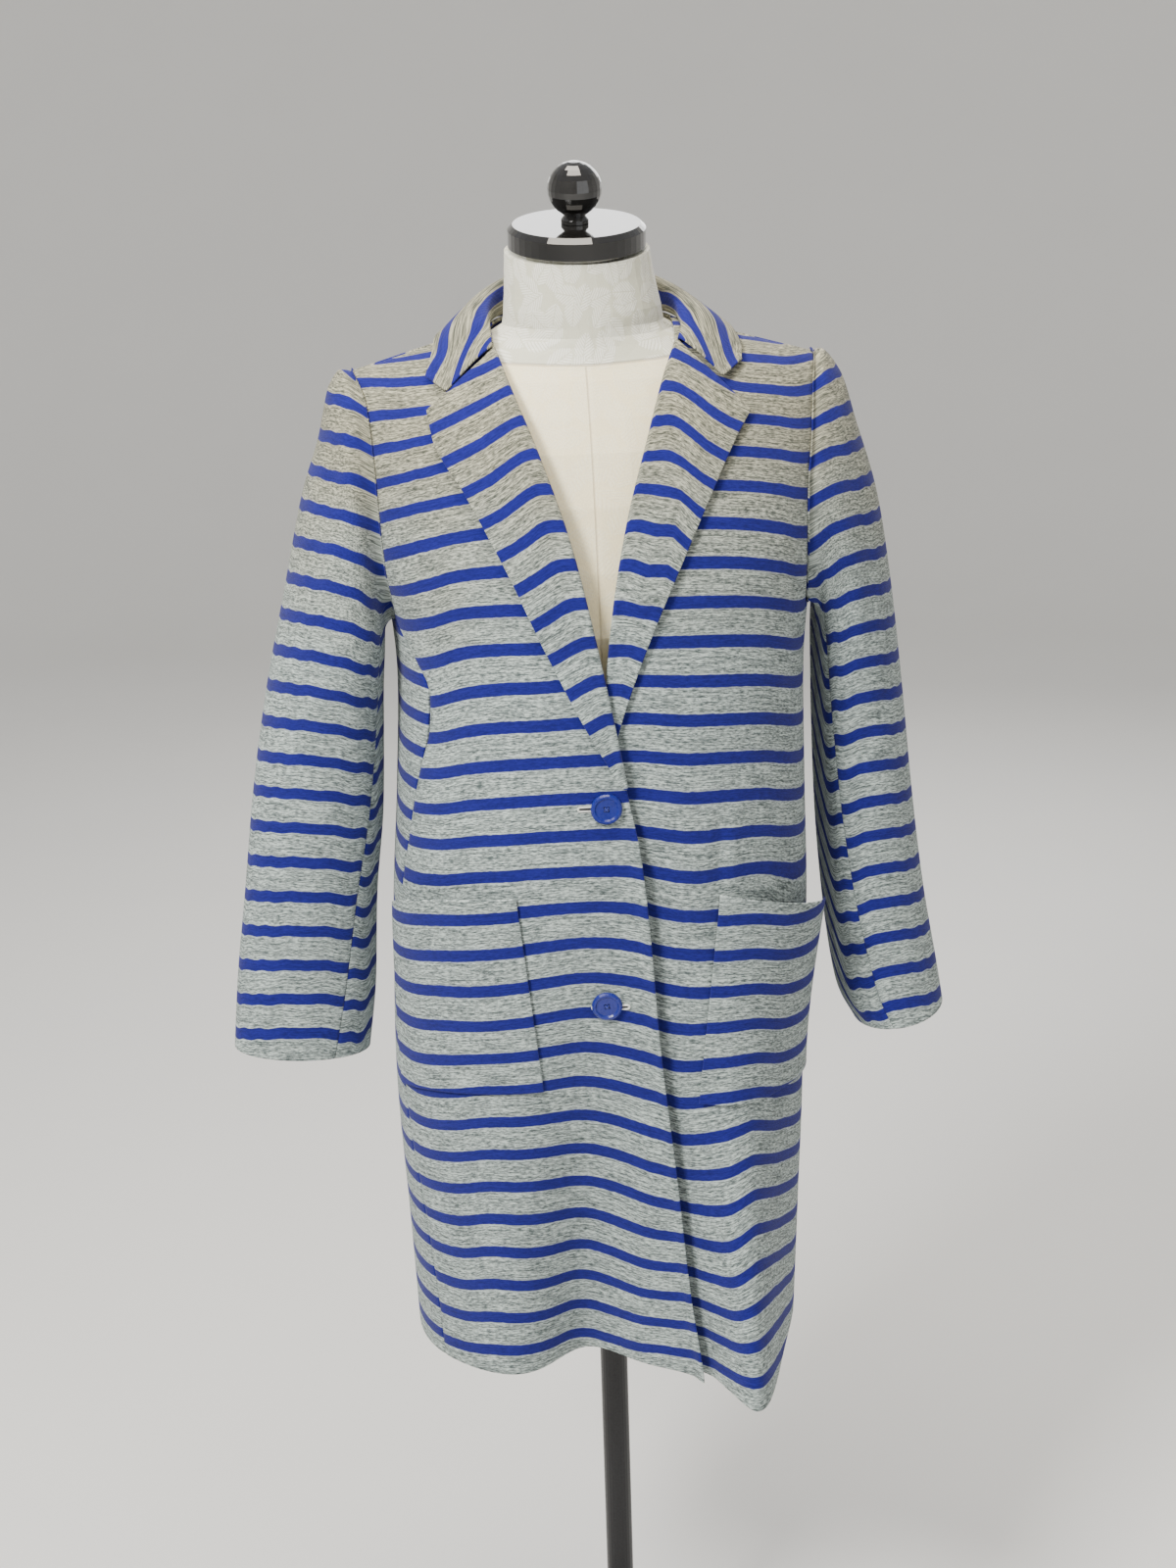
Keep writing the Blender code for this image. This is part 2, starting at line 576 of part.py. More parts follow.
def make_front(side, look):
    outer, inner = [], []
    for turn, level in body_rows(False):
        down = max((UNDERARM_HEIGHT - level) / (UNDERARM_HEIGHT - HEM_HEIGHT), 0.0)
        if turn is None:
            side_angle = SIDES[side] * seam_angle(side, level, False)
        else:
            side_angle = armhole_point(side, turn)[0]
        row_outer, row_inner = [], []
        for column in range(FRONT_COLUMNS + 1):
            share = column / FRONT_COLUMNS
            angle = side_angle + (angle_at(edge_x(side, level), level) - side_angle) * share
            x = coat_point(angle, level)[0]
            here = level - hem_dip(x) * down**2 * ease(4 * share)
            normal = coat_normal(angle, here)
            point = coat_point(angle, here)
            if side == "left":
                point = point - overlap_inset(x, here) * normal
            if turn == 0:
                point = point - np.array((0.0, SEAM_GAP / 2, 0.0))
            inward = armhole_inward(side, turn) if column == 0 and turn is not None else -normal
            row_outer.append(point)
            row_inner.append(point + WALL * inward)
        outer.append(row_outer)
        inner.append(row_inner)
    return wall("front_" + side, outer, inner, look, flip=side == "right")


def make_back(look):
    outer, inner = [], []
    for turn, level in body_rows(True):
        ends = []
        for side in ("right", "left"):
            if turn is None or level == UNDERARM_HEIGHT:
                ends.append(SIDES[side] * seam_angle(side, level, True))
            else:
                ends.append(armhole_point(side, min(turn, 359.999))[0])
        start, end = ends[0], ends[1] - 360
        row_outer, row_inner = [], []
        for column in range(BACK_COLUMNS + 1):
            angle = start + (end - start) * column / BACK_COLUMNS
            normal = coat_normal(angle, level)
            point = coat_point(angle, level)
            if turn == 360:
                point = point + np.array((0.0, SEAM_GAP / 2, 0.0))
            inward = -normal
            if turn is not None and column in (0, BACK_COLUMNS):
                inward = armhole_inward("right" if column == 0 else "left", turn)
            row_outer.append(point)
            row_inner.append(point + WALL * inward)
        outer.append(row_outer)
        inner.append(row_inner)
    return wall("back", outer, inner, look)


def make_sleeve_piece(side, piece, look):
    steps = round(2 * BACK_SEAM_TURN / SLEEVE_TURN_STEP) if piece == "upper" else 4
    last = len(SLEEVE[side]["depth"]) - 1
    outer, inner = [], []
    for i in range(SLEEVE_RINGS + 1):
        ring = last * i / SLEEVE_RINGS
        row_outer, row_inner = [], []
        for column in range(steps + 1):
            turn = sleeve_turn(side, piece, column / steps, ring)
            if column in (0, steps):
                # Half the seam's gap on each side of a seam that runs down the sleeve.
                away = 1 if column == 0 else -1
                turn += away * math.degrees(SEAM_GAP / 2 / sleeve_row(side, "depth", ring))
            point = sleeve_point(side, ring, turn)
            if i == 0:
                along = unit(sleeve_point(side, 0.4, turn) - point)
                inward = armhole_inward(side, turn)
                point = point + ARMHOLE_GAP * along
            else:
                inward = -sleeve_normal(side, ring, turn)
            row_outer.append(point)
            row_inner.append(point + WALL * inward)
        outer.append(row_outer)
        inner.append(row_inner)
    return wall(f"sleeve_{piece}_{side}", outer, inner, look, flip=side == "right")


def lapel_place(side, down, across):
    """(X, height) on a lapel, from the gorge down and from the roll line across to its edge."""
    table = LAPEL[side]
    roll = np.array([smooth(table["down"], table[name], down) for name in ("roll_x", "roll_z")])
    edge = np.array([smooth(table["down"], table[name], down) for name in ("edge_x", "edge_z")])
    return roll + (edge - roll) * across


def lapel_point(side, down, across, outer=True):
    """A point on the lapel's outer or inner face. It rises from the roll and lies on the front."""
    x, height = lapel_place(side, down, across)
    lift = LAPEL[side]["lift"] * (0.35 + 0.65 * math.sin(math.pi / 2 * min(across * 1.5 + 0.12, 1.0)))
    taper = 1 - 0.35 * ease((down - 0.8) / 0.2)
    low = max(lift * taper - WALL, LAPEL_GAP)
    return on_front(side, x, height, low + WALL if outer else low)


def make_lapel(side, look):
    outer, inner = [], []
    for i in range(LAPEL_ROWS + 1):
        down = i / LAPEL_ROWS * LAPEL_END
        row_outer, row_inner = [], []
        for j in range(LAPEL_COLUMNS + 1):
            across = LAPEL_START + (1 - LAPEL_START) * j / LAPEL_COLUMNS
            row_outer.append(lapel_point(side, down, across))
            row_inner.append(lapel_point(side, down, across, False))
        outer.append(row_outer)
        inner.append(row_inner)
    return wall("lapel_" + side, outer, inner, look, flip=side == "left")


def collar_line(name, share):
    """A point of the collar's seam, roll or edge. The share runs from -1, the right end, to 1."""
    side = "right" if share < 0 else "left"
    table = LAPEL[side]
    x, height = table["roll_x"][0], table["roll_z"][0]
    if name == "edge":
        x, height = table["corner_x"], table["corner_z"]
    end = on_front(side, x, height, COLLAR_END_LIFT[name])
    keys = list(COLLAR["along"]) + [1.0]
    values = [(SIDES[side] * x, y, z) for x, y, z in COLLAR[name]] + [tuple(end)]
    return np.array([smooth(keys, [value[axis] for value in values], abs(share)) for axis in range(3)])


def collar_fall(share, part):
    """A point of the fall, from the roll (0) to the outer edge (1), bent to the notch at the ends."""
    roll, edge = collar_line("roll", share), collar_line("edge", share)
    side = "right" if share < 0 else "left"
    notch = on_front(side, LAPEL[side]["notch_x"], LAPEL[side]["notch_z"], COLLAR_END_LIFT["edge"])
    straight_end = collar_line("roll", SIDES[side]) * (1 - COLLAR_NOTCH)
    straight_end = straight_end + collar_line("edge", SIDES[side]) * COLLAR_NOTCH
    bend = part / COLLAR_NOTCH if part < COLLAR_NOTCH else (1 - part) / (1 - COLLAR_NOTCH)
    near_end = ease((abs(share) - 0.78) / 0.22)
    return roll + (edge - roll) * part + (notch - straight_end) * bend * near_end


def make_collar(look):
    outer, inner = [], []
    for i in range(COLLAR_COLUMNS + 1):
        share = COLLAR_END * (2 * i / COLLAR_COLUMNS - 1)
        seam, roll = collar_line("seam", share), collar_line("roll", share)
        ahead = collar_line("roll", share + 0.005) - collar_line("roll", share - 0.005)
        over = unit(np.cross(ahead, collar_line("edge", share) - roll))
        over = over if over[2] > 0 else -over
        inward = unit(np.array((-roll[0], 0.02 - roll[1], 0.0)))
        line = [seam + (roll - seam) * part for part in COLLAR_STAND_PARTS]
        ways = [inward, inward, unit(inward + over)]
        bulge_here = COLLAR_BULGE * (1 - 0.6 * ease((abs(share) - 0.8) / 0.2))
        for part in COLLAR_FALL_PARTS:
            line.append(collar_fall(share, part) + over * bulge_here * math.sin(math.pi * part**0.7))
            ways.append(over)
        outer.append(line)
        inner.append([point - WALL * way for point, way in zip(line, ways)])
    return wall("collar", outer, inner, look, flip=True)


def pocket_point(side, across, down, outer=True):
    """A point on a patch pocket, from the side seam across and from its mouth down."""
    table = POCKET[side]
    mouth_drop = table["mouth_side_z"] - table["mouth_z"]
    bottom_drop = table["bottom_side_z"] - table["bottom_z"]
    mouth = table["mouth_z"] + mouth_drop * (1 - across) ** table["mouth_bow"]
    bottom = table["bottom_z"] + bottom_drop * (1 - across) ** table["bottom_bow"]
    level = mouth + (bottom - mouth) * down
    inner_x = table["mouth_x"] + (table["bottom_x"] - table["mouth_x"]) * down
    start = SIDES[side] * (seam_angle(side, level, False) - 0.3)
    angle = start + (angle_at(inner_x, level) - start) * across
    open_up = (1 - down) ** 1.6
    gape = table["gape"] * max(math.sin(math.pi * across), 0.0) ** 0.8 * open_up
    gape += table["side_gape"] * (1 - across) ** 2 * open_up
    out = POCKET_GAP + gape + (WALL if outer else 0.0)
    return coat_point(angle, level) + out * coat_normal(angle, level)


def make_pocket(side, look):
    grids = []
    for is_outer in (True, False):
        grid = []
        for i in range(POCKET_ROWS + 1):
            shares = [j / POCKET_COLUMNS for j in range(POCKET_COLUMNS + 1)]
            grid.append([pocket_point(side, across, i / POCKET_ROWS, is_outer) for across in shares])
        grids.append(grid)
    return wall("pocket_" + side, *grids, look, flip=side == "right")


def make_button(spec, look):
    """A disc with a raised rim and four holes, flat on the cloth."""
    rim = BUTTON_RADIUS - 0.0028
    profile = (
        (0.0, 0.0), (BUTTON_RADIUS - 0.0015, 0.0), (BUTTON_RADIUS, 0.0013), (BUTTON_RADIUS, 0.0028),
        (BUTTON_RADIUS - 0.0012, BUTTON_THICKNESS), (rim, BUTTON_THICKNESS), (rim - 0.0012, 0.0030),
        (0.0, 0.0027),
    )
    drill = ((0, -0.002), (BUTTON_HOLE_RADIUS, -0.002), (BUTTON_HOLE_RADIUS, 0.007), (0, 0.007))
    button = turned(spec["name"], profile, look, 28)
    for i in range(4):
        turn = math.radians(45 + 90 * i)
        hole = turned(f"{spec['name']}_hole_{i}", drill, look, 8)
        hole.location = (BUTTON_HOLE_SPREAD * math.cos(turn), BUTTON_HOLE_SPREAD * math.sin(turn), 0.0)
        hole.hide_render = True
        hole.display_type = "WIRE"
        hole.parent = button
        cut = button.modifiers.new(f"hole_{i}", "BOOLEAN")
        cut.object = hole
        cut.operation = "DIFFERENCE"
        cut.solver = "EXACT"
    facing = coat_normal(angle_at(spec["x"], spec["z"]), spec["z"])
    button.location = on_front("right", spec["x"], spec["z"], BUTTON_GAP)
    button.rotation_mode = "QUATERNION"
    button.rotation_quaternion = Vector((0, 0, 1)).rotation_difference(Vector(facing))
    return button


# ---------------------------------------------------------------- the dress form and its stand


def under_coat(x, y, height):
    """The form's Y at a point, held back behind the coat wherever the coat covers it."""
    if height + FORM_ROOM > shoulder_height(x):
        return y
    level = level_at(x, height + FORM_ROOM)
    angle = angle_at(x, level)
    if y > 0:
        return min(y, coat_point(180 - angle, level)[1] - FORM_ROOM)
    if abs(x) < abs(edge_x("right" if x < 0 else "left", level)) - FORM_ROOM:
        return y
    return max(y, coat_point(angle, level)[1] + FORM_ROOM)


def make_form(look):
    points, rings = [], []
    for height in FORM_HEIGHTS:
        names = ("half_width", "front", "back", "squareness")
        half, front, back, squareness = (smooth(FORM["height"], FORM[name], height) for name in names)
        neck = ease((height - 1.385) / 0.05)
        ring = []
        for i in range(FORM_SIDES):
            turn = 2 * math.pi * i / FORM_SIDES
            side, facing = math.sin(turn), -math.cos(turn)
            x = half * math.copysign(abs(side) ** (2 / squareness), side)
            y = (front if facing < 0 else back) * math.copysign(abs(facing) ** (2 / squareness), facing)
            y = under_coat(x, y, height)
            ring.append(len(points))
            points.append((x + NECK_SHIFT_X * neck, y, height + y * math.tan(NECK_TILT) * neck))
        rings.append(ring)
    faces = [rings[0][::-1], rings[-1]]
    for low, high in zip(rings, rings[1:]):
        for i in range(FORM_SIDES):
            j = (i + 1) % FORM_SIDES
            faces.append([low[i], low[j], high[j], high[i]])
    return mesh_object("form_torso", points, faces, look)


def make_cap_and_ball(look):
    start = FORM_HEIGHTS[-1] + SEAM_GAP
    cap_profile = (
        (0.0, 0.0), (CAP_RADIUS - 0.003, 0.0), (CAP_RADIUS, 0.003), (CAP_RADIUS, CAP_THICKNESS - 0.004),
        (CAP_RADIUS - 0.004, CAP_THICKNESS), (0.0, CAP_THICKNESS),
    )
    cap = turned("form_neck_cap", cap_profile, look, 48)
    cap.location = (NECK_SHIFT_X, 0.0, start)
    cap.rotation_euler = (NECK_TILT, 0.0, 0.0)
    profile = [(0.0, 0.0), (0.011, 0.0), (0.011, 0.003), (0.0085, 0.006)]
    for i in range(1, 12):
        turn = math.radians(-62 + (90 + 62) * i / 12)
        profile.append((BALL_RADIUS * math.cos(turn), BALL_HEIGHT + BALL_RADIUS * math.sin(turn)))
    profile.append((0.0, BALL_HEIGHT + BALL_RADIUS))
    ball = turned("form_finial", profile, look, 28)
    lift = CAP_THICKNESS + SEAM_GAP
    ball.location = (BALL_X, -math.sin(NECK_TILT) * lift, start + math.cos(NECK_TILT) * lift)
    ball.rotation_euler = (NECK_TILT, 0.0, 0.0)


def make_stand(look):
    underside = FORM_HEIGHTS[0] - SEAM_GAP
    foot = BASE_HEIGHT + SEAM_GAP
    pole_profile = (
        (0.0, foot), (POLE_RADIUS, foot), (POLE_RADIUS, 0.672), (0.030, 0.684), (0.045, 0.690),
        (0.045, underside), (0.0, underside),
    )
    base_profile = (
        (0.0, 0.0), (BASE_RADIUS - 0.002, 0.0), (BASE_RADIUS, 0.002), (BASE_RADIUS, 0.009),
        (BASE_RADIUS - 0.006, 0.014), (0.060, 0.018), (0.030, 0.022), (0.026, BASE_HEIGHT),
        (0.0, BASE_HEIGHT),
    )
    turned("stand_pole", pole_profile, look, 24)
    turned("stand_base", base_profile, look, 48)


def main():
    for old in list(bpy.data.objects):
        bpy.data.objects.remove(old, do_unlink=True)
    cloth = ((0.42, 0.42, 0.39), 0.85, 0.0)
    blue_plastic = ((0.03, 0.06, 0.42), 0.3, 0.0)
    cream_cover = ((0.86, 0.80, 0.66), 0.7, 0.0)
    black_gloss = ((0.01, 0.01, 0.01), 0.12, 0.0)
    black_steel = ((0.02, 0.02, 0.02), 0.35, 0.6)
    for side in SIDES:
        make_front(side, cloth)
        for piece in ("upper", "under"):
            make_sleeve_piece(side, piece, cloth)
        make_lapel(side, cloth)
        make_pocket(side, cloth)
    make_back(cloth)
    make_collar(cloth)
    for spec in BUTTONS:
        make_button(spec, blue_plastic)
    make_form(cream_cover)
    make_cap_and_ball(black_gloss)
    make_stand(black_steel)


main()
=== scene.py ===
"""Looks of a long striped knit blazer on a limbless dress form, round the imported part.

Metres, +Z up, the coat faces -Y. Every cloth piece is a thin shell on the form that its own solid has.
"""

import bpy
import numpy as np
from mathutils import Matrix


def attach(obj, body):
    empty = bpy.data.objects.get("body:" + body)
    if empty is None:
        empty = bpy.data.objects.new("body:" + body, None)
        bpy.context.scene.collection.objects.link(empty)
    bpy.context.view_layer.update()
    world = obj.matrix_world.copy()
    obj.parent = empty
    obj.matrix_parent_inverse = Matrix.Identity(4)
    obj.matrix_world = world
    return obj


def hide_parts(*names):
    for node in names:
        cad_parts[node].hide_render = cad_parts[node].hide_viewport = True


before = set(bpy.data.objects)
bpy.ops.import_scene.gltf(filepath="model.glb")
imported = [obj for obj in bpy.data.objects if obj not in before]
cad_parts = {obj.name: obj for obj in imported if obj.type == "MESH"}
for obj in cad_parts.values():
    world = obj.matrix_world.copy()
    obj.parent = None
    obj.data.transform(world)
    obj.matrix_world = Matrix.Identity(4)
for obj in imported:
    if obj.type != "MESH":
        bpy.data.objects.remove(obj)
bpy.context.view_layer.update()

# The cloth.
WALL = 0.002  # thickness of the double knit
SEAM_GAP = 0.0003  # between two sewn pieces
ARMHOLE_GAP = 0.0006  # between a sleeve and the armhole

# Heights of the coat.
HEM_HEIGHT = 0.491
UNDERARM_HEIGHT = 1.155
TIP_HEIGHT = 1.348
SHOULDER_TIP_X = 0.185
SHOULDER_SLOPE = 0.28
NECK_POINT_X = 0.074
BACK_NECK_RISE = 0.006
BACK_NECK_DEPTH = 0.062
SHOULDER_LINE_Y = 0.004
SHOULDER_ROUNDNESS = 2.0
SECTION_SQUARENESS = 2.4

# The coat's outer face, as sections across it. Depths run from the plane Y = 0.
BODY = {
    "height": (0.45, 0.6, 0.73, 0.89, 1.0, 1.1, 1.155, 1.2, 1.25, 1.3, 1.35),
    "centre": (-0.006, -0.005, -0.005, -0.0005, 0.003, 0.0055, 0.006, 0.005, 0.004, 0.002, 0.0),
    "half_width": (0.17, 0.175, 0.179, 0.1775, 0.172, 0.1685, 0.172, 0.183, 0.19, 0.194, 0.198),
    "front": (0.122, 0.124, 0.13, 0.136, 0.138, 0.137, 0.134, 0.134, 0.134, 0.134, 0.134),
    "back": (0.14, 0.137, 0.133, 0.124, 0.118, 0.116, 0.118, 0.121, 0.124, 0.126, 0.128),
}

# Folds that fall from the chest and deepen to the hem: X at the top and at the hem, half the width,
# depth, height of the top, and drop of the hem.
FOLDS = (
    (-0.1, -0.11, 0.045, 0.006, 0.95, 0.0),
    (-0.02, -0.03, 0.04, -0.044, 1.0, 0.0),
    (0.04, 0.062, 0.028, 0.01, 0.9, 0.0),
    (0.104, 0.112, 0.036, 0.1, 0.92, 0.01),
)
BACK_FOLDS = (
    (-0.08, -0.1, 0.045, 0.016, 0.95, 0.0),
    (0.0, -0.005, 0.045, -0.014, 0.98, 0.0),
    (0.075, 0.085, 0.045, 0.018, 0.92, 0.0),
)
FOLD_GROWTH = 1.7

# Side seams: the angle round the section from the centre front, for each side.
SIDE_SEAM = {
    "height": (0.48, 0.54, 0.59, 0.65, 0.69, 0.75, 0.85, 0.93, 0.97, 1.0, 1.04, 1.07, 1.105, 1.13,
               1.155),
    "right": (59.0, 60.4, 62.7, 66.0, 69.8, 73.0, 76.0, 74.0, 70.0, 67.0, 62.0, 58.0, 57.0, 65.0, 78.0),
    "left": (78.0, 78.0, 79.0, 80.0, 80.0, 80.0, 80.0, 80.0, 80.0, 80.0, 80.0, 79.0, 77.0, 74.5, 71.4),
}

# The armhole from the underarm (rise 0) to the shoulder tip (rise 1): in front its distance from the
# middle plane, and behind its angle round the section.
ARMHOLE_FRONT = {
    "rise": (0.0, 0.08, 0.2, 0.35, 0.5, 0.64, 0.75, 0.86, 0.93, 1.0),
    "right": (0.1629, 0.1645, 0.168, 0.17, 0.1712, 0.1722, 0.1733, 0.1752, 0.1788, 0.185),
    "left": (0.1705, 0.1695, 0.1684, 0.1681, 0.169, 0.1733, 0.1762, 0.179, 0.1815, 0.185),
}
ARMHOLE_BACK = {
    "rise": (0.07, 0.25, 0.5, 0.75, 0.93),
    "right": (91.0, 107.0, 116.0, 117.0, 115.0),
    "left": (92.0, 108.0, 116.0, 117.0, 115.0),
}

# Inner edge of each front in the front view: neck, roll line, break, and then the front edge or the
# covered edge down to the hem.
FRONT_EDGE = {
    "right": {
        "height": (0.44, 0.495, 0.567, 0.681, 0.811, 0.909, 0.978, 1.028, 1.068, 1.132, 1.192, 1.248, 1.295,
                   1.338, 1.365, 1.4),
        "x": (0.069, 0.0655, 0.0562, 0.0455, 0.0326, 0.0261, 0.0195, 0.0109, 0.0053, -0.0085, -0.0187,
              -0.0346, -0.049, -0.0651, -0.074, -0.076),
    },
    "left": {
        "height": (0.44, 0.494, 0.7, 0.85, 0.985, 1.05, 1.125, 1.186, 1.248, 1.295, 1.337, 1.366, 1.4),
        "x": (0.0, 0.0, -0.012, -0.018, -0.016, -0.007, 0.0003, 0.0076, 0.0215, 0.0371, 0.0532, 0.0689,
              0.074),
    },
}
OVERLAP_INSET = 0.007  # how far the covered front lies behind the one on top
OVERLAP_FADE = 0.05

# Lapels in the front view, from the gorge down to the break.
LAPEL_DOWN = (0.0, 0.07, 0.2, 0.4, 0.6, 0.8, 1.0)
LAPEL = {
    "right": {
        "roll_x": (-0.074, -0.0661, -0.0497, -0.0285, -0.0138, -0.0013, 0.0105),
        "roll_z": (1.3648, 1.3413, 1.2975, 1.23, 1.163, 1.0957, 1.0284),
        "edge_x": (-0.127, -0.1235, -0.1017, -0.0728, -0.0479, -0.0211, 0.0098),
        "edge_z": (1.3234, 1.303, 1.2645, 1.2057, 1.1468, 1.088, 1.0291),
        "notch": (-0.1113, 1.335),
        "corner": (-0.1261, 1.345),
        "lift": 0.0052,
    },
    "left": {
        "roll_x": (0.0689, 0.0562, 0.0398, 0.0191, 0.0062, -0.001, -0.0055),
        "roll_z": (1.3656, 1.3435, 1.3025, 1.2394, 1.1762, 1.1131, 1.05),
        "edge_x": (0.12, 0.1054, 0.0845, 0.0568, 0.0323, 0.0125, -0.0035),
        "edge_z": (1.3149, 1.2961, 1.2611, 1.2073, 1.1536, 1.0998, 1.046),
        "notch": (0.1001, 1.3376),
        "corner": (0.1172, 1.3475),
        "lift": 0.005,
    },
}
LAPEL_GAP = 0.0019
LAPEL_END = 0.985  # of the way down to the break

# The collar: its seam to the neckline, its roll and its outer edge, from the centre back to an end.
COLLAR = {
    "along": (0.0, 0.25, 0.5, 0.7, 0.85),
    "seam": ((0, 0.0655, 1.3862), (0.038, 0.0568, 1.3846), (0.064, 0.035, 1.382), (0.0745, -0.005, 1.3796),
             (0.075, -0.026, 1.3745)),
    "roll": ((0, 0.08, 1.418), (0.042, 0.068, 1.414), (0.067, 0.034, 1.403), (0.0745, -0.003, 1.39),
             (0.0745, -0.026, 1.38)),
    "edge": ((0, 0.101, 1.377), (0.057, 0.089, 1.376), (0.1, 0.05, 1.375), (0.117, 0.006, 1.373),
             (0.122, -0.026, 1.362)),
}
COLLAR_END = 0.994  # of the way along to the gorge
COLLAR_NOTCH = 0.72  # where the notch lies between the roll and the corner
COLLAR_BULGE = 0.0065
COLLAR_END_LIFT = {"seam": 0.0012, "roll": 0.0068, "edge": 0.0060}

# Patch pockets: the level of the mouth and of the bottom at the side and at the inner edge.
POCKET = {
    "right": {
        "mouth_x": -0.0792, "bottom_x": -0.064, "gape": 0.011, "side_gape": 0.005,
        "mouth_z": 0.9417, "mouth_side_z": 0.913, "mouth_bow": 2.4,
        "bottom_z": 0.7684, "bottom_side_z": 0.748, "bottom_bow": 1.6,
    },
    "left": {
        "mouth_x": 0.0854, "bottom_x": 0.066, "gape": 0.01, "side_gape": 0.012,
        "mouth_z": 0.933, "mouth_side_z": 0.888, "mouth_bow": 1.0,
        "bottom_z": 0.7504, "bottom_side_z": 0.7334, "bottom_bow": 1.0,
    },
}
POCKET_GAP = 0.0013

# Sleeves: rings between an outer and an inner line, X as a distance from the middle plane.
SLEEVE = {
    "right": {
        "outer_x": (0.185, 0.194, 0.2035, 0.2155, 0.2301, 0.2507, 0.2712, 0.2881, 0.3014, 0.314, 0.3205),
        "outer_y": (0.004, 0.004, 0.003, 0.002, 0.0, -0.003, -0.006, -0.01, -0.015, -0.02, -0.025),
        "outer_z": (1.348, 1.349, 1.338, 1.295, 1.255, 1.175, 1.093, 1.0085, 0.9213, 0.84, 0.783),
        "inner_x": (0.162, 0.167, 0.17, 0.171, 0.172, 0.1745, 0.177, 0.181, 0.191, 0.197, 0.2055),
        "inner_y": (-0.042, -0.039, -0.035, -0.03, -0.025, -0.018, -0.01, -0.004, 0.0, 0.0, -0.003),
        "inner_z": (1.155, 1.151, 1.145, 1.136, 1.124, 1.096, 1.05, 0.985, 0.904, 0.823, 0.765),
        "depth": (0.086, 0.084, 0.08, 0.074, 0.068, 0.06, 0.052, 0.045, 0.04, 0.036, 0.034),
        "front_seam": (150.0, 150.0, 150.0, 151.0, 152.0, 154.0, 150.0, 142.0, 133.0, 124.0, 119.0),
    },
    "left": {
        "outer_x": (0.185, 0.193, 0.2083, 0.222, 0.24, 0.2545, 0.2655, 0.275, 0.2865, 0.3, 0.304),
        "outer_y": (0.004, 0.006, 0.008, 0.01, 0.014, 0.018, 0.02, 0.02, 0.018, 0.012, 0.008),
        "outer_z": (1.348, 1.349, 1.3316, 1.29, 1.2316, 1.148, 1.062, 0.9733, 0.8817, 0.8, 0.771),
        "inner_x": (0.1705, 0.177, 0.181, 0.183, 0.184, 0.1855, 0.187, 0.19, 0.197, 0.2085, 0.223),
        "inner_y": (-0.03, -0.026, -0.02, -0.012, -0.004, 0.002, 0.008, 0.01, 0.008, 0.0, -0.004),
        "inner_z": (1.155, 1.151, 1.145, 1.136, 1.122, 1.085, 1.035, 0.958, 0.868, 0.79, 0.76),
        "depth": (0.08, 0.078, 0.074, 0.07, 0.064, 0.058, 0.053, 0.05, 0.048, 0.047, 0.047),
        "front_seam": (150.0, 150.0, 150.0, 149.0, 147.0, 143.0, 137.0, 129.0, 120.0, 112.0, 110.0),
    },
}
BACK_SEAM_TURN = 150.0
SLEEVE_BLEND_RINGS = 5.0
SLEEVE_RADIUS = 0.055  # for the places of creases

# Buttons.
BUTTON_HOLE_SPREAD = 0.002
BUTTON_GAP = 0.0007
BUTTONS = (
    {"name": "button_upper", "x": -0.0057, "z": 1.0173, "hole": (-0.0205, 0.0075), "hole_drop": 0.0},
    {"name": "button_lower", "x": -0.0088, "z": 0.844, "hole": (-0.0105, 0.0165), "hole_drop": -0.0022},
)

SIDES = {"right": -1.0, "left": 1.0}

# The cloth's looks.
CLOTH = 0.0018  # thickness of a shell
THIN_CLOTH = 0.0016  # of a piece laid on another
SEAM_DIP = 0.0006
SEAM_DIP_WIDTH = 0.0022
STRIPE_REPEAT = 0.031
STRIPE_WIDTH = 0.0102
STRIPE_PHASE = 0.026
WALE = 0.0014
COURSE = 0.0011
ROLL_DEPTH = 0.0012
EDGE_LIFT = 0.0038  # of the right front along its edge, over the left one, which is pressed in there
EDGE_RECESS = 0.003
EDGE_LIFT_WIDTH = 0.006
GREY = {
    "middle": (0.235, 0.275, 0.268, 1),
    "dark": (0.07, 0.09, 0.09, 1),
    "light": (0.5, 0.57, 0.545, 1),
    "halo": (0.38, 0.42, 0.48, 1),
    # painted warm shade, multiplied into the grey towards the shoulders
    "painted_warm_shade": (0.84, 0.7, 0.54, 1),
}
BLUE = {"deep": (0.0035, 0.0045, 0.105, 1), "bright": (0.01, 0.011, 0.2, 1)}
PAINTED_SHADE_FROM, PAINTED_SHADE_TO = 1.19, 1.4  # heights between which painted warm shade darkens and warms the marl, standing in for warm light falling off over the shoulders
STRIPE_WOBBLE = 0.001
STRIPE_BLUR = 0.01  # as shares of the repeat, like the pale halo beside a stripe
HALO = {"from": 0.02, "to": 0.05, "strength": 0.45}
MARL = {"short": (200, 900, 0), "long": (34, 480, 0), "long_share": 0.4, "dark": (0.4, 0.5),
        "light": (0.5, 0.58)}
LEAF = {"per_metre": 58.0, "half_length": 0.013, "half_width": 0.008, "raggedness": 2300.0}
COVER = {
    "chest": (0.97, 0.86, 0.56, 1),
    "neck": (0.62, 0.62, 0.49, 1),
    "leaf": (0.97, 0.97, 0.9, 1),
    "weave": (0.52, 0.43, 0.3, 1),
    "seam": (0.36, 0.27, 0.17, 1),
}

